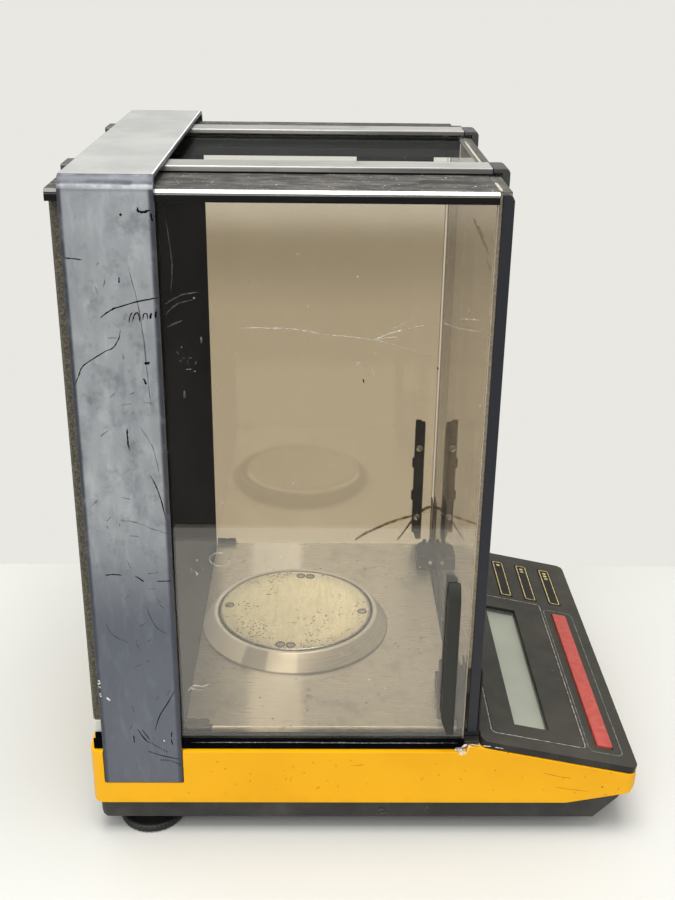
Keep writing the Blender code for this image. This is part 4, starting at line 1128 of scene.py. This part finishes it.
def make_strap_wear():
    """Scratches, smears and chips on the strap's left side."""
    deep = [
        (0.55, [(19.2, 231.4), (22.6, 234.0), (26.3, 235.8), (34.8, 238.2), (42.0, 239.6)]),
        (0.42, [(7.6, 204.2), (9.4, 208.4), (11.6, 212.4), (19.8, 217.8), (23.4, 219.6), (25.8, 223.4),
                (26.6, 226.7)]),
        (0.6, [(26.7, 186.2), (26.6, 181.0), (27.0, 176.7)]),
        (0.42, [(34.7, 165.8), (37.2, 160.0), (38.6, 154.6), (40.2, 145.5)]),
        (0.4, [(40.2, 62.0), (36.6, 55.0), (33.0, 48.7), (30.4, 40.6)]),
        (0.5, [(22.6, 41.0), (25.2, 36.2), (27.0, 34.0)]),
        (0.35, [(24.6, 40.8), (27.8, 35.4)]),
        (0.45, [(20.6, 37.6), (20.9, 33.6)]),
        (0.5, [(37.8, 39.6), (37.6, 36.8)]),
        (0.5, [(37.4, 36.0), (37.9, 32.4)]),
        (0.5, [(13.4, 119.4), (17.0, 119.9), (20.6, 119.4)]),
        (0.5, [(26.0, 119.2), (29.6, 116.4)]),
        (0.4, [(35.0, 116.6), (41.0, 116.8)]),
        (0.45, [(7.6, 254.6), (14.0, 254.0)]),
        (0.5, [(27.4, 247.4), (27.2, 245.2)]),
        (0.8, [(35.7, 273.8), (36.0, 272.2), (37.8, 272.0), (40.4, 272.7)]),
        (0.9, [(29.0, 271.2), (29.8, 270.6)]),
        (0.7, [(40.6, 271.6), (41.0, 268.6)]),
        (0.4, [(30.0, 229.6), (30.6, 232.2), (31.6, 233.8)]),
        (0.45, [(31.4, 229.8), (32.2, 232.6), (33.4, 233.6), (34.2, 231.6), (34.0, 230.0)]),
        (0.4, [(35.4, 230.6), (35.8, 233.0), (37.0, 233.2), (37.2, 231.0)]),
        (0.7, [(38.2, 231.2), (38.8, 233.6)]),
        (0.8, [(40.2, 231.4), (40.6, 234.2)]),
        (0.9, [(35.0, 213.2), (37.2, 213.6)]),
        (0.7, [(34.4, 207.2), (35.2, 204.6)]),
        (0.4, [(26.5, 29.0), (33.0, 26.6), (41.0, 24.5)]),
    ]
    for start, step, count in (((27.6, 34.0), (1.05, -0.75), 8), ((32.4, 24.2), (0.95, -0.06), 5),
                               ((37.4, 23.4), (0.9, -0.5), 5)):
        for i in range(count):
            u, h = start[0] + step[0] * i, start[1] + step[1] * i
            deep.append((0.34, [(u, h + 0.5), (u + 0.1, h - 0.5)]))
    side_marks("strap_scratches", deep, STRAP_FACE, SCRATCH_DARK, "column_strap", 11)
    soft = [
        (0.35, [(21.4, 145.4), (28.0, 144.2), (33.5, 141.8), (42.0, 138.6)]),
        (0.4, [(31.0, 252.0), (34.5, 232.0), (36.0, 208.0), (36.6, 196.0)]),
        (0.4, [(31.5, 187.0), (36.4, 178.0), (38.4, 166.0)]),
        (0.35, [(12.0, 96.0), (15.0, 90.0), (21.0, 86.5)]),
        (0.35, [(30.0, 104.0), (33.0, 95.0), (39.0, 90.0)]),
    ]
    strewn = scattered_dashes([(12, 250), (30, 215), (20, 150), (34, 90), (18, 40)], 34, 2.4, 9, 5)
    soft += [(0.3, dash) for dash in strewn]
    side_marks("strap_scuffs", soft, STRAP_FACE, SCRATCH_SOFT, "column_strap", 12, 0.6)
    chips = [(0.8, dash) for dash in scattered_dashes([(7.2, 66.5), (7.5, 58.0)], 8, 0.5, 0.3, 8)]
    chips += [(0.8, [(9.8, 57.6), (10.8, 57.0), (11.4, 56.2)]), (0.5, [(33.8, 35.0), (34.4, 34.4)])]
    side_marks("strap_chips", chips, STRAP_FACE, SCRATCH_PALE, "column_strap", 13, 0.5)


def make_housing_wear():
    """Scratches and rust marks on the left side of the yellow band, and its chipped step at the front."""
    marks = [(0.3, [(206, 17.0), (213, 15.2), (219, 14.2)]), (0.25, [(118, 21.0), (124, 21.4)]),
             (0.25, [(212, 9.0), (228, 6.5)]), (0.25, [(102.0, 7.6), (104.6, 9.6)])]
    pits = [(57.6, 23.0), (61.1, 19.1), (72.4, 16.3), (72.3, 12.3), (101.0, 22.5), (107.8, 12.4),
            (103.3, 8.4), (111.4, 20.9), (118.1, 23.7), (96.9, 16.9), (184.0, 18.4), (44.0, 5.4)]
    marks += [(0.7, [(u - 0.35, h), (u + 0.35, h + 0.2)]) for u, h in pits]
    strewn = scattered_dashes([(50, 12), (120, 16), (200, 14), (240, 9)], 26, 0.9, 8, 21)
    marks += [(0.3, dash) for dash in strewn]
    side_marks("housing_scratches", marks, HOUSING_SIDE, RUST_LINE, "base_housing", 14, 0.5)
    chips = [(1.6, [(165.8, 31.2), (166.8, 29.8), (168.0, 30.6)]), (1.0, [(167.8, 31.4), (170.4, 32.6)]),
             (0.4, [(171.6, 33.0), (174.2, 32.6), (176.6, 32.2)]), (0.3, [(177.6, 32.2), (181.3, 31.8)]),
             (0.25, [(183.0, 31.4), (187.0, 30.6)]), (0.5, [(169.0, 27.8), (169.6, 29.0)])]
    chips += [(0.6, dash) for dash in scattered_dashes([(165.5, 30.5), (170.5, 31.0)], 9, 0.5, 0.8, 22)]
    side_marks("housing_chips", chips, HOUSING_SIDE, SCRATCH_PALE, "base_housing", 15, 0.5)


def make_column():
    """Rear cover and wall with their screws, and the sockets at the back."""
    refined("rear_cover", BROWN, 0.35, 2)
    refined("rear_wall", METAL_BLACK, 0.3, 1)
    for node in ("power_inlet", "fuse_holder"):
        refined(node, BLACK, 0.3, 2)
    refined("data_socket", STEEL, 0.25, 2)
    wall_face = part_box("rear_wall")[0].y
    for name, x, h in (("upper", 39.0, 179.4), ("lower", -39.0, 179.4)):
        point = Vector((x * MM, wall_face + 0.0002, z_at(h)))
        screw = place_screw("wall_screw_" + name, point, (0, -1, 0), 0.0017, 0.0009, STEEL)
        attach(screw, "rear_wall")
    cover_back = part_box("rear_cover")[1].y
    for i, (x, h) in enumerate(((-80, 262), (80, 262), (-80, 45), (80, 45), (-80, 150), (80, 150))):
        point = Vector((x * MM, cover_back - 0.0003, z_at(h)))
        screw = place_screw("cover_screw_%d" % (i + 1), point, (0, 1, 0), 0.0026, 0.0014, STEEL, 0.4 * i)
        attach(screw, "rear_cover")
    low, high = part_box("data_socket")
    pins, mouth = (low + high) / 2, high.y - 0.0031
    bm = bmesh.new()
    for row, count in ((0.0014, 9), (-0.0014, 8)):
        for i in range(count):
            x = pins.x + (i - (count - 1) / 2) * 0.0033
            bmesh.ops.create_cone(bm, cap_ends=True, segments=10, radius1=0.0005, radius2=0.00042,
                                  depth=0.0026, matrix=Matrix.Translation((x, mouth + 0.0012, pins.z + row))
                                  @ Matrix.Rotation(-math.pi / 2, 4, "X"))
    attach(new_piece("data_socket_pins", bm, BRASS), "data_socket")


# ---- draft shield --------------------------------------------------------------------------------
def make_top_guide(node, sign):
    """Door guide: extruded section with a bright outer chamfer over a black lip."""
    low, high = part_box(node)
    outer = max(abs(low.x), abs(high.x))
    top, lip = high.z, z_at(275.2)
    groove_roof, shelf = z_at(277.7), z_at(278.0)
    inner = min(abs(low.x), abs(high.x))
    glass_in, glass_out = 0.0886, 0.0918
    chamfer = 0.0012
    flange_foot, flange_roof = z_at(270.4), z_at(276.2)
    score = top - 0.00025
    section = [(outer, lip), (outer, lip + 0.0026), (outer - 0.0002, lip + 0.0027),
               (outer - 0.0002, lip + 0.0030), (outer, lip + 0.0031), (outer, top - chamfer),
               (outer - chamfer, top)]
    for edge in (0.0820, 0.0640):           # two lines scored along the top
        section += [(edge, top), (edge - 0.0003, score), (edge - 0.0009, score), (edge - 0.0012, top)]
    section += [(0.0514, top), (0.0514, shelf), (inner, shelf), (inner, flange_foot),
                (inner + 0.0018, flange_foot), (inner + 0.0018, flange_roof), (0.0530, flange_roof),
                (0.0530, groove_roof), (0.0870, groove_roof), (0.0870, lip), (glass_in, lip),
                (glass_in, groove_roof), (glass_out, groove_roof), (glass_out, lip)]
    bm = extruded_mesh(section, low.y, high.y, lambda x, z, y: (sign * x, y, z))
    bm.normal_update()
    for face in bm.faces:
        middle = face.calc_center_median()
        on_edge = abs(middle.x) > outer - chamfer * 0.9 and middle.z > lip + 0.0028
        face.material_index = 1 if on_edge and abs(face.normal.y) < 0.5 else 0
    piece = new_piece(node + "_fine", bm, GUIDE, EDGE_BRIGHT, smooth_angle=180)
    round_edges(piece, 0.12, 2, 25)
    stand_in(piece, node)
    tab_low, tab_high = at(0, 157, 266.4), at(0, 120, 270.5)
    outline = [(tab_low.y, tab_high.z), (tab_low.y, tab_low.z + 0.001), (tab_low.y + 0.001, tab_low.z),
               (tab_high.y - 0.001, tab_low.z), (tab_high.y, tab_low.z + 0.001), (tab_high.y, tab_high.z)]
    tab = extruded_mesh(outline, inner, inner + 0.0016, lambda y, z, x: (sign * x, y, z))
    attach(rounded_piece(node + "_tab", tab, METAL_BLACK, 0.2), node)


def make_rail(node):
    """Flat aluminium rail with a stepped edge and a rounded stub at the rear."""
    refined(node, RAIL, 0.3, 2)
    low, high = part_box(node)
    middle_x, top = (low.x + high.x) / 2, high.z
    outline = [(-0.0035, 0.0)]
    for i in range(9):
        angle = math.pi - math.pi * i / 8
        outline.append((0.0035 * math.cos(angle), 0.0004 + 0.0014 * math.sin(angle)))
    outline.append((0.0035, 0.0))
    start, foot = high.y - 0.0042, top - 0.0021
    bm = extruded_mesh(outline, 0, 0.004, lambda x, z, y: (middle_x + x, start + y, foot + z))
    attach(rounded_piece(node + "_stub", bm, BLACK, 0.25, 2, 40), node)


def make_shield():
    """Roof guides, rails, doors, front pane, lid and floor of the weighing chamber."""
    for sign, side in ((-1, "left"), (1, "right")):
        make_top_guide("top_guide_" + side, sign)
        make_rail("rail_" + side)
        refined("lower_guide_" + side, METAL_BLACK, 0.25, 2)
        refined("rail_cap_" + side, CAP, 0.6, 3)
        refined("guide_end_" + side, NYLON, 0.4, 2)
        refined("pane_edge_" + side, SLATE, 0.35, 3)
        make_pane_clamp("pane_clamp_" + side)
        make_corner_block("corner_block_" + side, sign)
        make_rear_block(side, sign)
        make_door(side, sign)
    plate_glass("front_pane", PANE_GLASS, PANE_EDGE_GLASS, 1)
    plate_glass("top_lid", LID_GLASS, LID_EDGE, 2)
    make_corner_plate()
    refined("pane_sill", BLACK, 0.3, 2)
    refined("floor_plate", floor_steel(), 0.4, 3)


def make_pane_clamp(node):
    """Black clip whose leg behind the pane is clear plastic gone brown."""
    clip = refined(node, BLACK, 0.2, 2)
    clip.data.materials.append(AGED)
    behind_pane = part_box("front_pane")[1].y + 0.0001
    for face in clip.data.polygons:
        if face.center.y > behind_pane:
            face.material_index = 1


def make_corner_plate():
    """Thin clear plate, gone brown, inside the left-hand lower corner of the pane."""
    low, high = at(-84.9, 168.2, 38.9), at(-84.5, 157.2, 68.5)
    loop = rounded_loop(low.y, high.y, low.z, high.z, 0.0012, 3)
    bm = extruded_mesh(loop, low.x, high.x, lambda y, z, x: (x, y, z))
    attach(rounded_piece("pane_corner_plate", bm, AGED, 0.1), "pane_sill")


def make_rear_block(side, sign):
    """Thin bevelled plate with a shallow notch, at the floor's edge by the rear wall."""
    reach, depth, foot, top = 0.0884, 0.0016, z_at(38.0), z_at(41.0)
    near, far = y_at(54.0), y_at(43.2)
    outline = [(near, foot), (near, top - 0.0008), (near + 0.0008, top), (near + 0.0040, top),
               (near + 0.0044, top - 0.0005), (near + 0.0056, top - 0.0005), (near + 0.0060, top),
               (far, top), (far, foot)]
    bm = extruded_mesh(outline, reach - depth, reach, lambda y, z, x: (sign * x, y, z))
    attach(rounded_piece("rear_block_" + side, bm, BLACK, 0.3), "floor_plate")


def make_corner_block(node, sign):
    """Block with small pegs on its rear edge and a bright screw at the pane."""
    refined(node, BLACK, 0.5, 2)
    low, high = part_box(node)
    outer_x = high.x if sign > 0 else low.x
    inner_x = low.x if sign > 0 else high.x
    for i, forward in enumerate((0.0030, 0.0066)):
        bm = bmesh.new()
        bmesh.ops.create_cone(bm, cap_ends=True, segments=20, radius1=0.0012, radius2=0.0010, depth=0.0026,
                              matrix=Matrix.Translation((outer_x - sign * 0.0018, high.y - 0.0022 - forward,
                                                         high.z + 0.0010)))
        attach(rounded_piece("%s_peg_%d" % (node, i + 1), bm, BLACK, 0.15), node)
    point = Vector((inner_x + sign * 0.0002, high.y - 0.0074, (low.z + high.z) / 2 + 0.0006))
    attach(place_screw(node + "_screw", point, (-sign, 0, 0), 0.0011, 0.0006, STEEL), node)


def make_door(side, sign):
    """Sliding glass door with its pull, backing strip and two screws."""
    glass_node = "door_%s_glass" % side
    plate_glass(glass_node, DOOR_GLASS if sign < 0 else PAINTED_REFLECTION_GLASS, EDGE_GLASS, 0)
    refined("door_%s_pull" % side, PULL, 0.45, 3)
    refined("door_%s_strip" % side, BLACK, 0.3, 2)
    for place in ("lower", "upper"):
        node = "door_%s_screw_%s" % (side, place)
        low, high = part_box(node)
        centre = (low + high) / 2
        inner_x = high.x if sign < 0 else low.x
        point = Vector((low.x if sign < 0 else high.x, centre.y, centre.z))
        turn = 0.5 if place == "lower" else -0.9
        screw = place_screw(node + "_fine", point, (inner_x - point.x, 0, 0), (high.z - low.z) / 2,
                            abs(inner_x - point.x), STEEL, turn, 0.0007)
        stand_in(screw, node)


def make_pane_glints():
    """Bright chamfer along the rear of the pane's upper edge, where it catches the light."""
    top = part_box("front_pane")[1].z
    back = REAR_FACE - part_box("front_pane")[1].y
    u = back / MM + 0.9
    chance = random.Random(51)
    bm = bmesh.new()
    for width_mm, points in ((1.1, [(36.0, u), (10.0, u - 0.1), (-14.0, u), (-40.0, u)]),
                             (1.3, [(-70.0, u), (-78.0, u), (-87.6, u)])):
        add_line(bm, points, width_mm, lambda x, u, z: (x * MM, REAR_FACE - u * MM, z), top - 0.0004,
                 top + 0.00003, chance, 0.08)
    attach(new_piece("front_pane_glints", bm, EDGE_GLASS, smooth_angle=180), "front_pane")


DOOR_FACE = -91.5                       # outside of the left-hand door, in millimetres


def make_door_marks():
    """Scratches, a dried drop and a smudge on the outside of the left-hand door."""
    faint = [
        (0.3, [(103.4, 224.5), (113.0, 223.6), (123.6, 222.3), (131.0, 220.6), (138.1, 218.4),
               (149.1, 216.3)]),
        (0.25, [(149.9, 229.7), (156.4, 227.4), (166.6, 225.8)]),
        (0.25, [(128.1, 226.7), (133.9, 227.6)]),
        (0.25, [(133.9, 228.4), (139.6, 230.8)]),
        (0.35, [(157.0, 231.0), (165.0, 230.6)]),
        (0.5, [(160.0, 235.0), (160.6, 233.4)]),
    ]
    faint += [(0.3, dash) for dash in scattered_dashes([(117.2, 212.8), (126.7, 208.3)], 9, 1.0, 1.2, 31)]
    faint += [(0.25, dash) for dash in scattered_dashes([(60, 235), (110, 150), (150, 90)], 16, 1.0, 20, 32)]
    side_marks("door_scratches_faint", faint, DOOR_FACE, SCRATCH_FAINT, "door_left_glass", 33, 0.5)
    clear = [
        (0.34, [(71.7, 226.7), (80.0, 226.8), (91.8, 226.5), (98.0, 225.6), (103.4, 224.5)]),
        (0.45, [(124.2, 222.4), (127.4, 223.8), (130.5, 225.1), (136.3, 226.8)]),
        (0.25, [(136.3, 226.8), (140.0, 227.7), (143.6, 228.3)]),
        (0.3, [(124.8, 222.2), (129.0, 223.2), (133.0, 223.6)]),
    ]
    side_marks("door_scratches_clear", clear, DOOR_FACE, SCRATCH_CLEAR, "door_left_glass", 39, 0.45)
    flecks = [
        (0.5, [(45.4, 58.6), (46.3, 60.2), (48.4, 61.8), (52.0, 61.4), (55.0, 62.6)]),
        (0.4, [(46.4, 60.6), (49.6, 59.4), (52.6, 60.2)]),
        (0.5, [(49.0, 120.6), (49.6, 119.2)]),
        (0.4, [(50.4, 119.8), (51.8, 118.2), (51.0, 117.6)]),
    ]
    side_marks("door_flecks", flecks, DOOR_FACE, SCRATCH_CLEAR, "door_left_glass", 34, 0.5)
    dark = [(0.5, [(120.0, 206.2), (120.4, 204.6)]), (0.9, [(149.0, 210.9), (149.6, 210.9)])]
    side_marks("door_marks_dark", dark, DOOR_FACE, SCRATCH_DARK, "door_left_glass", 40, 0.3)
    ghosts = [(0.4, [(43.5, 236.0), (50.0, 239.6), (57.5, 241.0)]),
              (0.4, [(43.5, 231.6), (48.0, 236.0), (55.0, 238.0)]),
              (0.4, [(44.0, 227.0), (50.0, 229.6)]), (0.3, [(45.5, 268.0), (47.0, 252.0), (46.0, 241.0)])]
    ghosts += [(0.4, dash) for dash in scattered_dashes([(45, 216), (55, 213)], 8, 0.8, 2.0, 37)]
    side_marks("door_scratches_ghost", ghosts, DOOR_FACE, SCRATCH_GHOST, "door_left_glass", 38, 0.5)
    drop = [(61.4 + 4.2 * math.cos(math.radians(a)), 125.2 + 3.2 * math.sin(math.radians(a)))
            for a in range(0, 361, 24)]
    side_marks("door_drop", [(0.5, drop)], DOOR_FACE, SCRATCH_FAINT, "door_left_glass", 35, 0.5)
    smudge = [(0.9, [(159.6, 269.8), (161.8, 265.6), (164.0, 261.6), (166.4, 256.0)]),
              (0.4, [(165.6, 254.6), (167.4, 250.4)]), (0.5, [(161.6, 267.4), (164.8, 262.8)])]
    side_marks("door_smudge", smudge, DOOR_FACE, SMUDGE, "door_left_glass", 36, 0.6)


def make_guide_lines():
    """Pale line along the outside of each lower guide."""
    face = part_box("lower_guide_right")[1].x / MM
    line = [(46.0, 32.1), (90.0, 32.2), (130.0, 32.0), (166.0, 32.1)]
    for side, x_mm in (("left", -face), ("right", face)):
        side_marks("lower_guide_line_" + side, [(0.45, line)], x_mm, SCRATCH_FAINT, "lower_guide_" + side, 43)


def make_crack():
    """Fracture running up from the lower edge of the right-hand door, through its thickness."""
    inner, outer = (corner.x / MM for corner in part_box("door_right_glass"))
    middle, reach = (inner + outer) / 2, outer - inner - 0.3
    crack = [
        (0.6, [(124.5, 39.0), (130.0, 43.2), (136.2, 46.4), (142.0, 49.4), (147.9, 51.8), (153.0, 53.7),
               (157.8, 55.2)]),
        (0.8, [(157.8, 55.2), (161.6, 57.4), (165.4, 60.0), (168.7, 61.0)]),
        (0.45, [(149.5, 39.2), (153.4, 44.8), (157.9, 52.5), (159.0, 55.4)]),
    ]
    side_marks("door_crack", crack, middle - reach / 2, CRACK, "door_right_glass", 41, 0.25, -reach)
    shard = [(0.5, [(159.0, 54.4), (162.0, 56.4), (165.4, 58.6), (168.6, 59.6)])]
    side_marks("door_crack_glint", shard, inner - 0.02, SCRATCH_PALE, "door_right_glass", 42, 0.4)


# ---- pan and ring --------------------------------------------------------------------------------
def make_ring():
    """Conical draft ring with a small rolled crest."""
    low, high, centre, outer = round_box("draft_ring")
    inner = min((v.co.to_2d() - centre.to_2d()).length for v in frame["nodes"]["draft_ring"].data.vertices)
    profile = [(outer - 0.0004, low.z), (outer - 0.0001, low.z + 0.0001), (outer, low.z + 0.0004),
               (outer - 0.0003, low.z + 0.0008), (inner + 0.0021, high.z - 0.0003),
               (inner + 0.0017, high.z - 0.00005), (inner + 0.0013, high.z), (inner + 0.0004, high.z),
               (inner + 0.0001, high.z - 0.0001), (inner, high.z - 0.0004),
               (inner, high.z - 0.0009), (outer - 0.0018, low.z)]
    ring = new_piece("draft_ring_fine", turned_mesh(profile, centre, 200), ring_steel(), smooth_angle=28)
    stand_in(ring, "draft_ring")


def make_pan():
    """Shallow dish with a rolled rim, its hub, and the heads of the rivets that hold the hub's spider."""
    low, high, centre, radius = round_box("weighing_pan")
    hub, top = low.z, high.z
    profile = [(0, top - 0.0006), (radius - 0.0019, top - 0.0006), (radius - 0.0015, top - 0.0005),
               (radius - 0.0012, top - 0.0001), (radius - 0.0008, top), (radius - 0.0004, top),
               (radius - 0.0001, top - 0.0002), (radius, top - 0.0006), (radius, top - 0.0015),
               (radius - 0.0004, top - 0.0018), (0.0074, top - 0.0019), (0.0065, top - 0.0029),
               (0.0060, hub), (0.0036, hub), (0.0033, hub + 0.0006), (0.0033, top - 0.0032),
               (0, top - 0.0032)]
    pan = new_piece("weighing_pan_fine", turned_mesh(profile, centre, 200), pan_steel(), smooth_angle=28)
    stand_in(pan, "weighing_pan")
    rivets = [(-34.4, 3.4), (34.5, -2.4), (2.2, 34.3), (7.3, 33.7), (-6.8, -33.8), (-1.7, -34.4)]
    for i, (toward_user, across) in enumerate(rivets):
        place = (centre.x + across * MM, centre.y - toward_user * MM)
        rolled = [(0.0017, top - 0.0008), (0.0024, top - 0.0008), (0.0024, top - 0.0004),
                  (0.00205, top - 0.00022), (0.0017, top - 0.0004)]
        attach(new_piece("pan_eyelet_%d" % (i + 1), turned_mesh(rolled, place, 32), EYELET), "weighing_pan")
        head = [(0, top - 0.0008), (0.0014, top - 0.0008), (0.0014, top - 0.0005), (0.0009, top - 0.00035),
                (0, top - 0.0003)]
        attach(new_piece("pan_rivet_%d" % (i + 1), turned_mesh(head, place, 28), ALUMINIUM), "weighing_pan")


# ---- control panel -------------------------------------------------------------------------------
PRESS = next(joint for joint in RECORD["behaviour"]["joints"] if joint["name"] == "key_1_press")
PANEL_UP = -Vector(PRESS["axis"]).normalized()
PANEL_RIGHT = Vector((1, 0, 0))
PANEL_BACK = PANEL_UP.cross(PANEL_RIGHT)


def on_panel(x, back, out):
    """A point from its place across the panel, up its slope and out of its surface."""
    return PANEL_RIGHT * x + PANEL_BACK * back + PANEL_UP * out


def panel_box(node):
    """Limits of a node across the panel, up its slope and out of its surface."""
    places = [Vector(v.co) for v in frame["nodes"][node].data.vertices]
    values = [(p.x, p.dot(PANEL_BACK), p.dot(PANEL_UP)) for p in places]
    return [min(v[i] for v in values) for i in range(3)], [max(v[i] for v in values) for i in range(3)]


PRINT_HEIGHT, PRINT_DEPTH = 0.00008, 0.0001      # how far a printed line stands out of the panel and in


def panel_line(name, low, high, inset, width, radius, level, material, node):
    """A thin printed frame that follows a box, inset from it."""
    outer = rounded_loop(low[0] + inset, high[0] - inset, low[1] + inset, high[1] - inset, radius)
    step = inset + width
    inner = rounded_loop(low[0] + step, high[0] - step, low[1] + step, high[1] - step,
                         max(radius - width, 0.0002))
    bm = frame_mesh(outer, inner, level - PRINT_DEPTH, level + PRINT_HEIGHT, on_panel)
    return attach(new_piece(name, bm, material, smooth_angle=30), node)


def make_panel():
    """Control slab with its display, bar, keys and printed frames."""
    refined("control_panel", PANEL, 0.5, 3)
    slab_top = panel_box("control_panel")[1][2]
    low, high = panel_box("display_bezel")
    refined("display_bezel", PANEL, 0.12, 2)
    panel_line("bezel_line", low, high, -0.0008, 0.0005, 0.0024, slab_top, PALE_LINE, "control_panel")
    refined("display_window", WINDOW_GLASS, 0.1, 1)
    refined("display_module", LCD, 0.2, 1)
    bar_low, bar_high = panel_box("tare_bar")
    refined("tare_bar", RED, 0.45, 3)
    panel_line("bar_line", bar_low, bar_high, -0.0046, 0.0005, 0.0034, slab_top, GREEN_LINE, "control_panel")
    for i in (1, 2, 3):
        node = "function_key_%d" % i
        refined(node, KEY, 0.25, 2)
        key_low, key_high = panel_box(node)
        panel_line("key_line_%d" % i, key_low, key_high, 0.0004, 0.00055, 0.0010, key_high[2], GOLD_LINE,
                   node)
        make_key_mark(i, key_low, key_high, node)
    refined("key_board", BOARD, 0.2, 1)


def make_key_mark(number, low, high, node):
    """Generic printed dots at the far end of a key, one more on each key."""
    middle = (low[1] + high[1]) / 2
    for k in range(number):
        x = high[0] - 0.0042 - k * 0.0030
        loop = rounded_loop(x - 0.0009, x + 0.0009, middle - 0.0010, middle + 0.0010, 0.0004, 3)
        bm = extruded_mesh(loop, high[2] - PRINT_DEPTH, high[2] + PRINT_HEIGHT, on_panel)
        attach(new_piece("key_mark_%d_%d" % (number, k + 1), bm, GOLD_LINE), node)


# ---- inside --------------------------------------------------------------------------------------
def finish_inside():
    """The weigh cell and electronics keep their CAD shapes, with real metals and boards."""
    for node in ("weigh_cell_frame", "pan_carrier", "balance_lever"):
        refined(node, ALUMINIUM, 0.35, 2)
    refined("force_coil", COPPER, 0.2, 2)
    refined("magnet_pot", STEEL, 0.4, 2)
    refined("transformer", STEEL, 0.5, 2)
    refined("main_board", BOARD, 0.2, 1)


# ---- stage ---------------------------------------------------------------------------------------
TABLE_NEAR, TABLE_FAR = -0.40, 0.163       # edges of the table at the viewer's side and at the wall
TABLE_SIDE = 2.5                           # how far the table runs to the front and the back
TABLE_DARK_FROM, TABLE_DARK_TO = -0.379, -0.381


def make_floor():
    """Pale table top that stands against a pale wall."""
    g = Graph("table_top")
    cloud = g.patches(0.3, 0.7, 0.4, 3)
    base = g.mix(cloud, tone(190, 191, 187), tone(196, 196, 192))
    base = g.mix(g.window(g.x, TABLE_DARK_FROM, TABLE_DARK_TO), base, tone(160, 160, 156))
    g.surface(base, 0.5, 0.0, g.bump(g.noise(0.002), 0.00005))
    bm = bmesh.new()
    corners = [(TABLE_NEAR, -TABLE_SIDE, 0), (TABLE_FAR, -TABLE_SIDE, 0), (TABLE_FAR, TABLE_SIDE, 0),
               (TABLE_NEAR, TABLE_SIDE, 0)]
    bm.faces.new([bm.verts.new(corner) for corner in corners])
    new_piece("table_top", bm, g.material)


def make_world():
    """Pale surroundings for the camera. The room that lights and mirrors is pale above and on the wall's
    side, and dim below the table's near edge."""
    world = bpy.data.worlds.new("room")
    bpy.context.scene.world = world
    g = Graph("room", world)
    pale = g.larger(g.window(g.z, -0.12, 0.25), g.window(g.x, 0.0, 0.3))
    lit = g.add("Background", Color=g.mix(pale, (0.085, 0.083, 0.082), (0.66, 0.66, 0.65)))
    seen = g.add("Background", Color=tone(233, 232, 226))
    by_camera = g.add("LightPath").outputs["Is Camera Ray"]
    g.finish(g.blend(by_camera, lit, seen).outputs[0])


def area_light(name, place, aim, size, power, colour):
    """A rectangular lamp at a place, turned to what it lights."""
    data = bpy.data.lights.new(name, "AREA")
    data.shape = "RECTANGLE"
    data.size, data.size_y = size
    data.energy = power
    data.color = colour
    light = bpy.data.objects.new(name, data)
    light.location = place
    light.rotation_euler = (Vector(aim) - Vector(place)).to_track_quat("-Z", "Y").to_euler()
    bpy.context.scene.collection.objects.link(light)


def make_lights():
    """A warm ceiling lamp and a cooler one from the left rear."""
    middle = (0, 0, 0.15)
    area_light("ceiling", (-0.26, 0.08, 1.5), middle, (0.9, 0.9), 26, (1.0, 0.985, 0.96))
    area_light("window", (-1.3, 0.5, 1.1), middle, (1.2, 1.0), 12, (0.97, 0.985, 1.0))


CAMERA_LENS_MM = 46.32
CAMERA_PLACE = (-0.5210, 0.0219, 0.3797)
CAMERA_DEGREES = (-0.96, -23.35, 0.72)      # yaw from +X, pitch and roll


def make_camera():
    """The viewer stands at the left side of the balance, looking down at it and a little to the front."""
    data = bpy.data.cameras.new("camera")
    camera = bpy.data.objects.new("camera", data)
    bpy.context.scene.collection.objects.link(camera)
    data.lens = CAMERA_LENS_MM
    data.sensor_width = 36.0
    data.clip_start = 0.05
    camera.location = CAMERA_PLACE
    yaw, pitch, roll = (math.radians(angle) for angle in CAMERA_DEGREES)
    ahead = Vector((math.cos(pitch) * math.cos(yaw), math.cos(pitch) * math.sin(yaw), math.sin(pitch)))
    right = ahead.cross(Vector((0, 0, 1))).normalized()
    above = right.cross(ahead)
    tilted_right = right * math.cos(roll) + above * math.sin(roll)
    tilted_up = above * math.cos(roll) - right * math.sin(roll)
    axes = Matrix((tilted_right, tilted_up, -ahead)).transposed()
    camera.rotation_euler = axes.to_euler()
    bpy.context.scene.camera = camera


make_base()
make_strap()
make_strap_wear()
make_housing_wear()
make_column()
make_shield()
make_pane_glints()
make_door_marks()
make_guide_lines()
make_crack()
make_ring()
make_pan()
make_panel()
finish_inside()
make_floor()
make_world()
make_lights()
make_camera()
bpy.context.scene.view_settings.view_transform = "Standard"
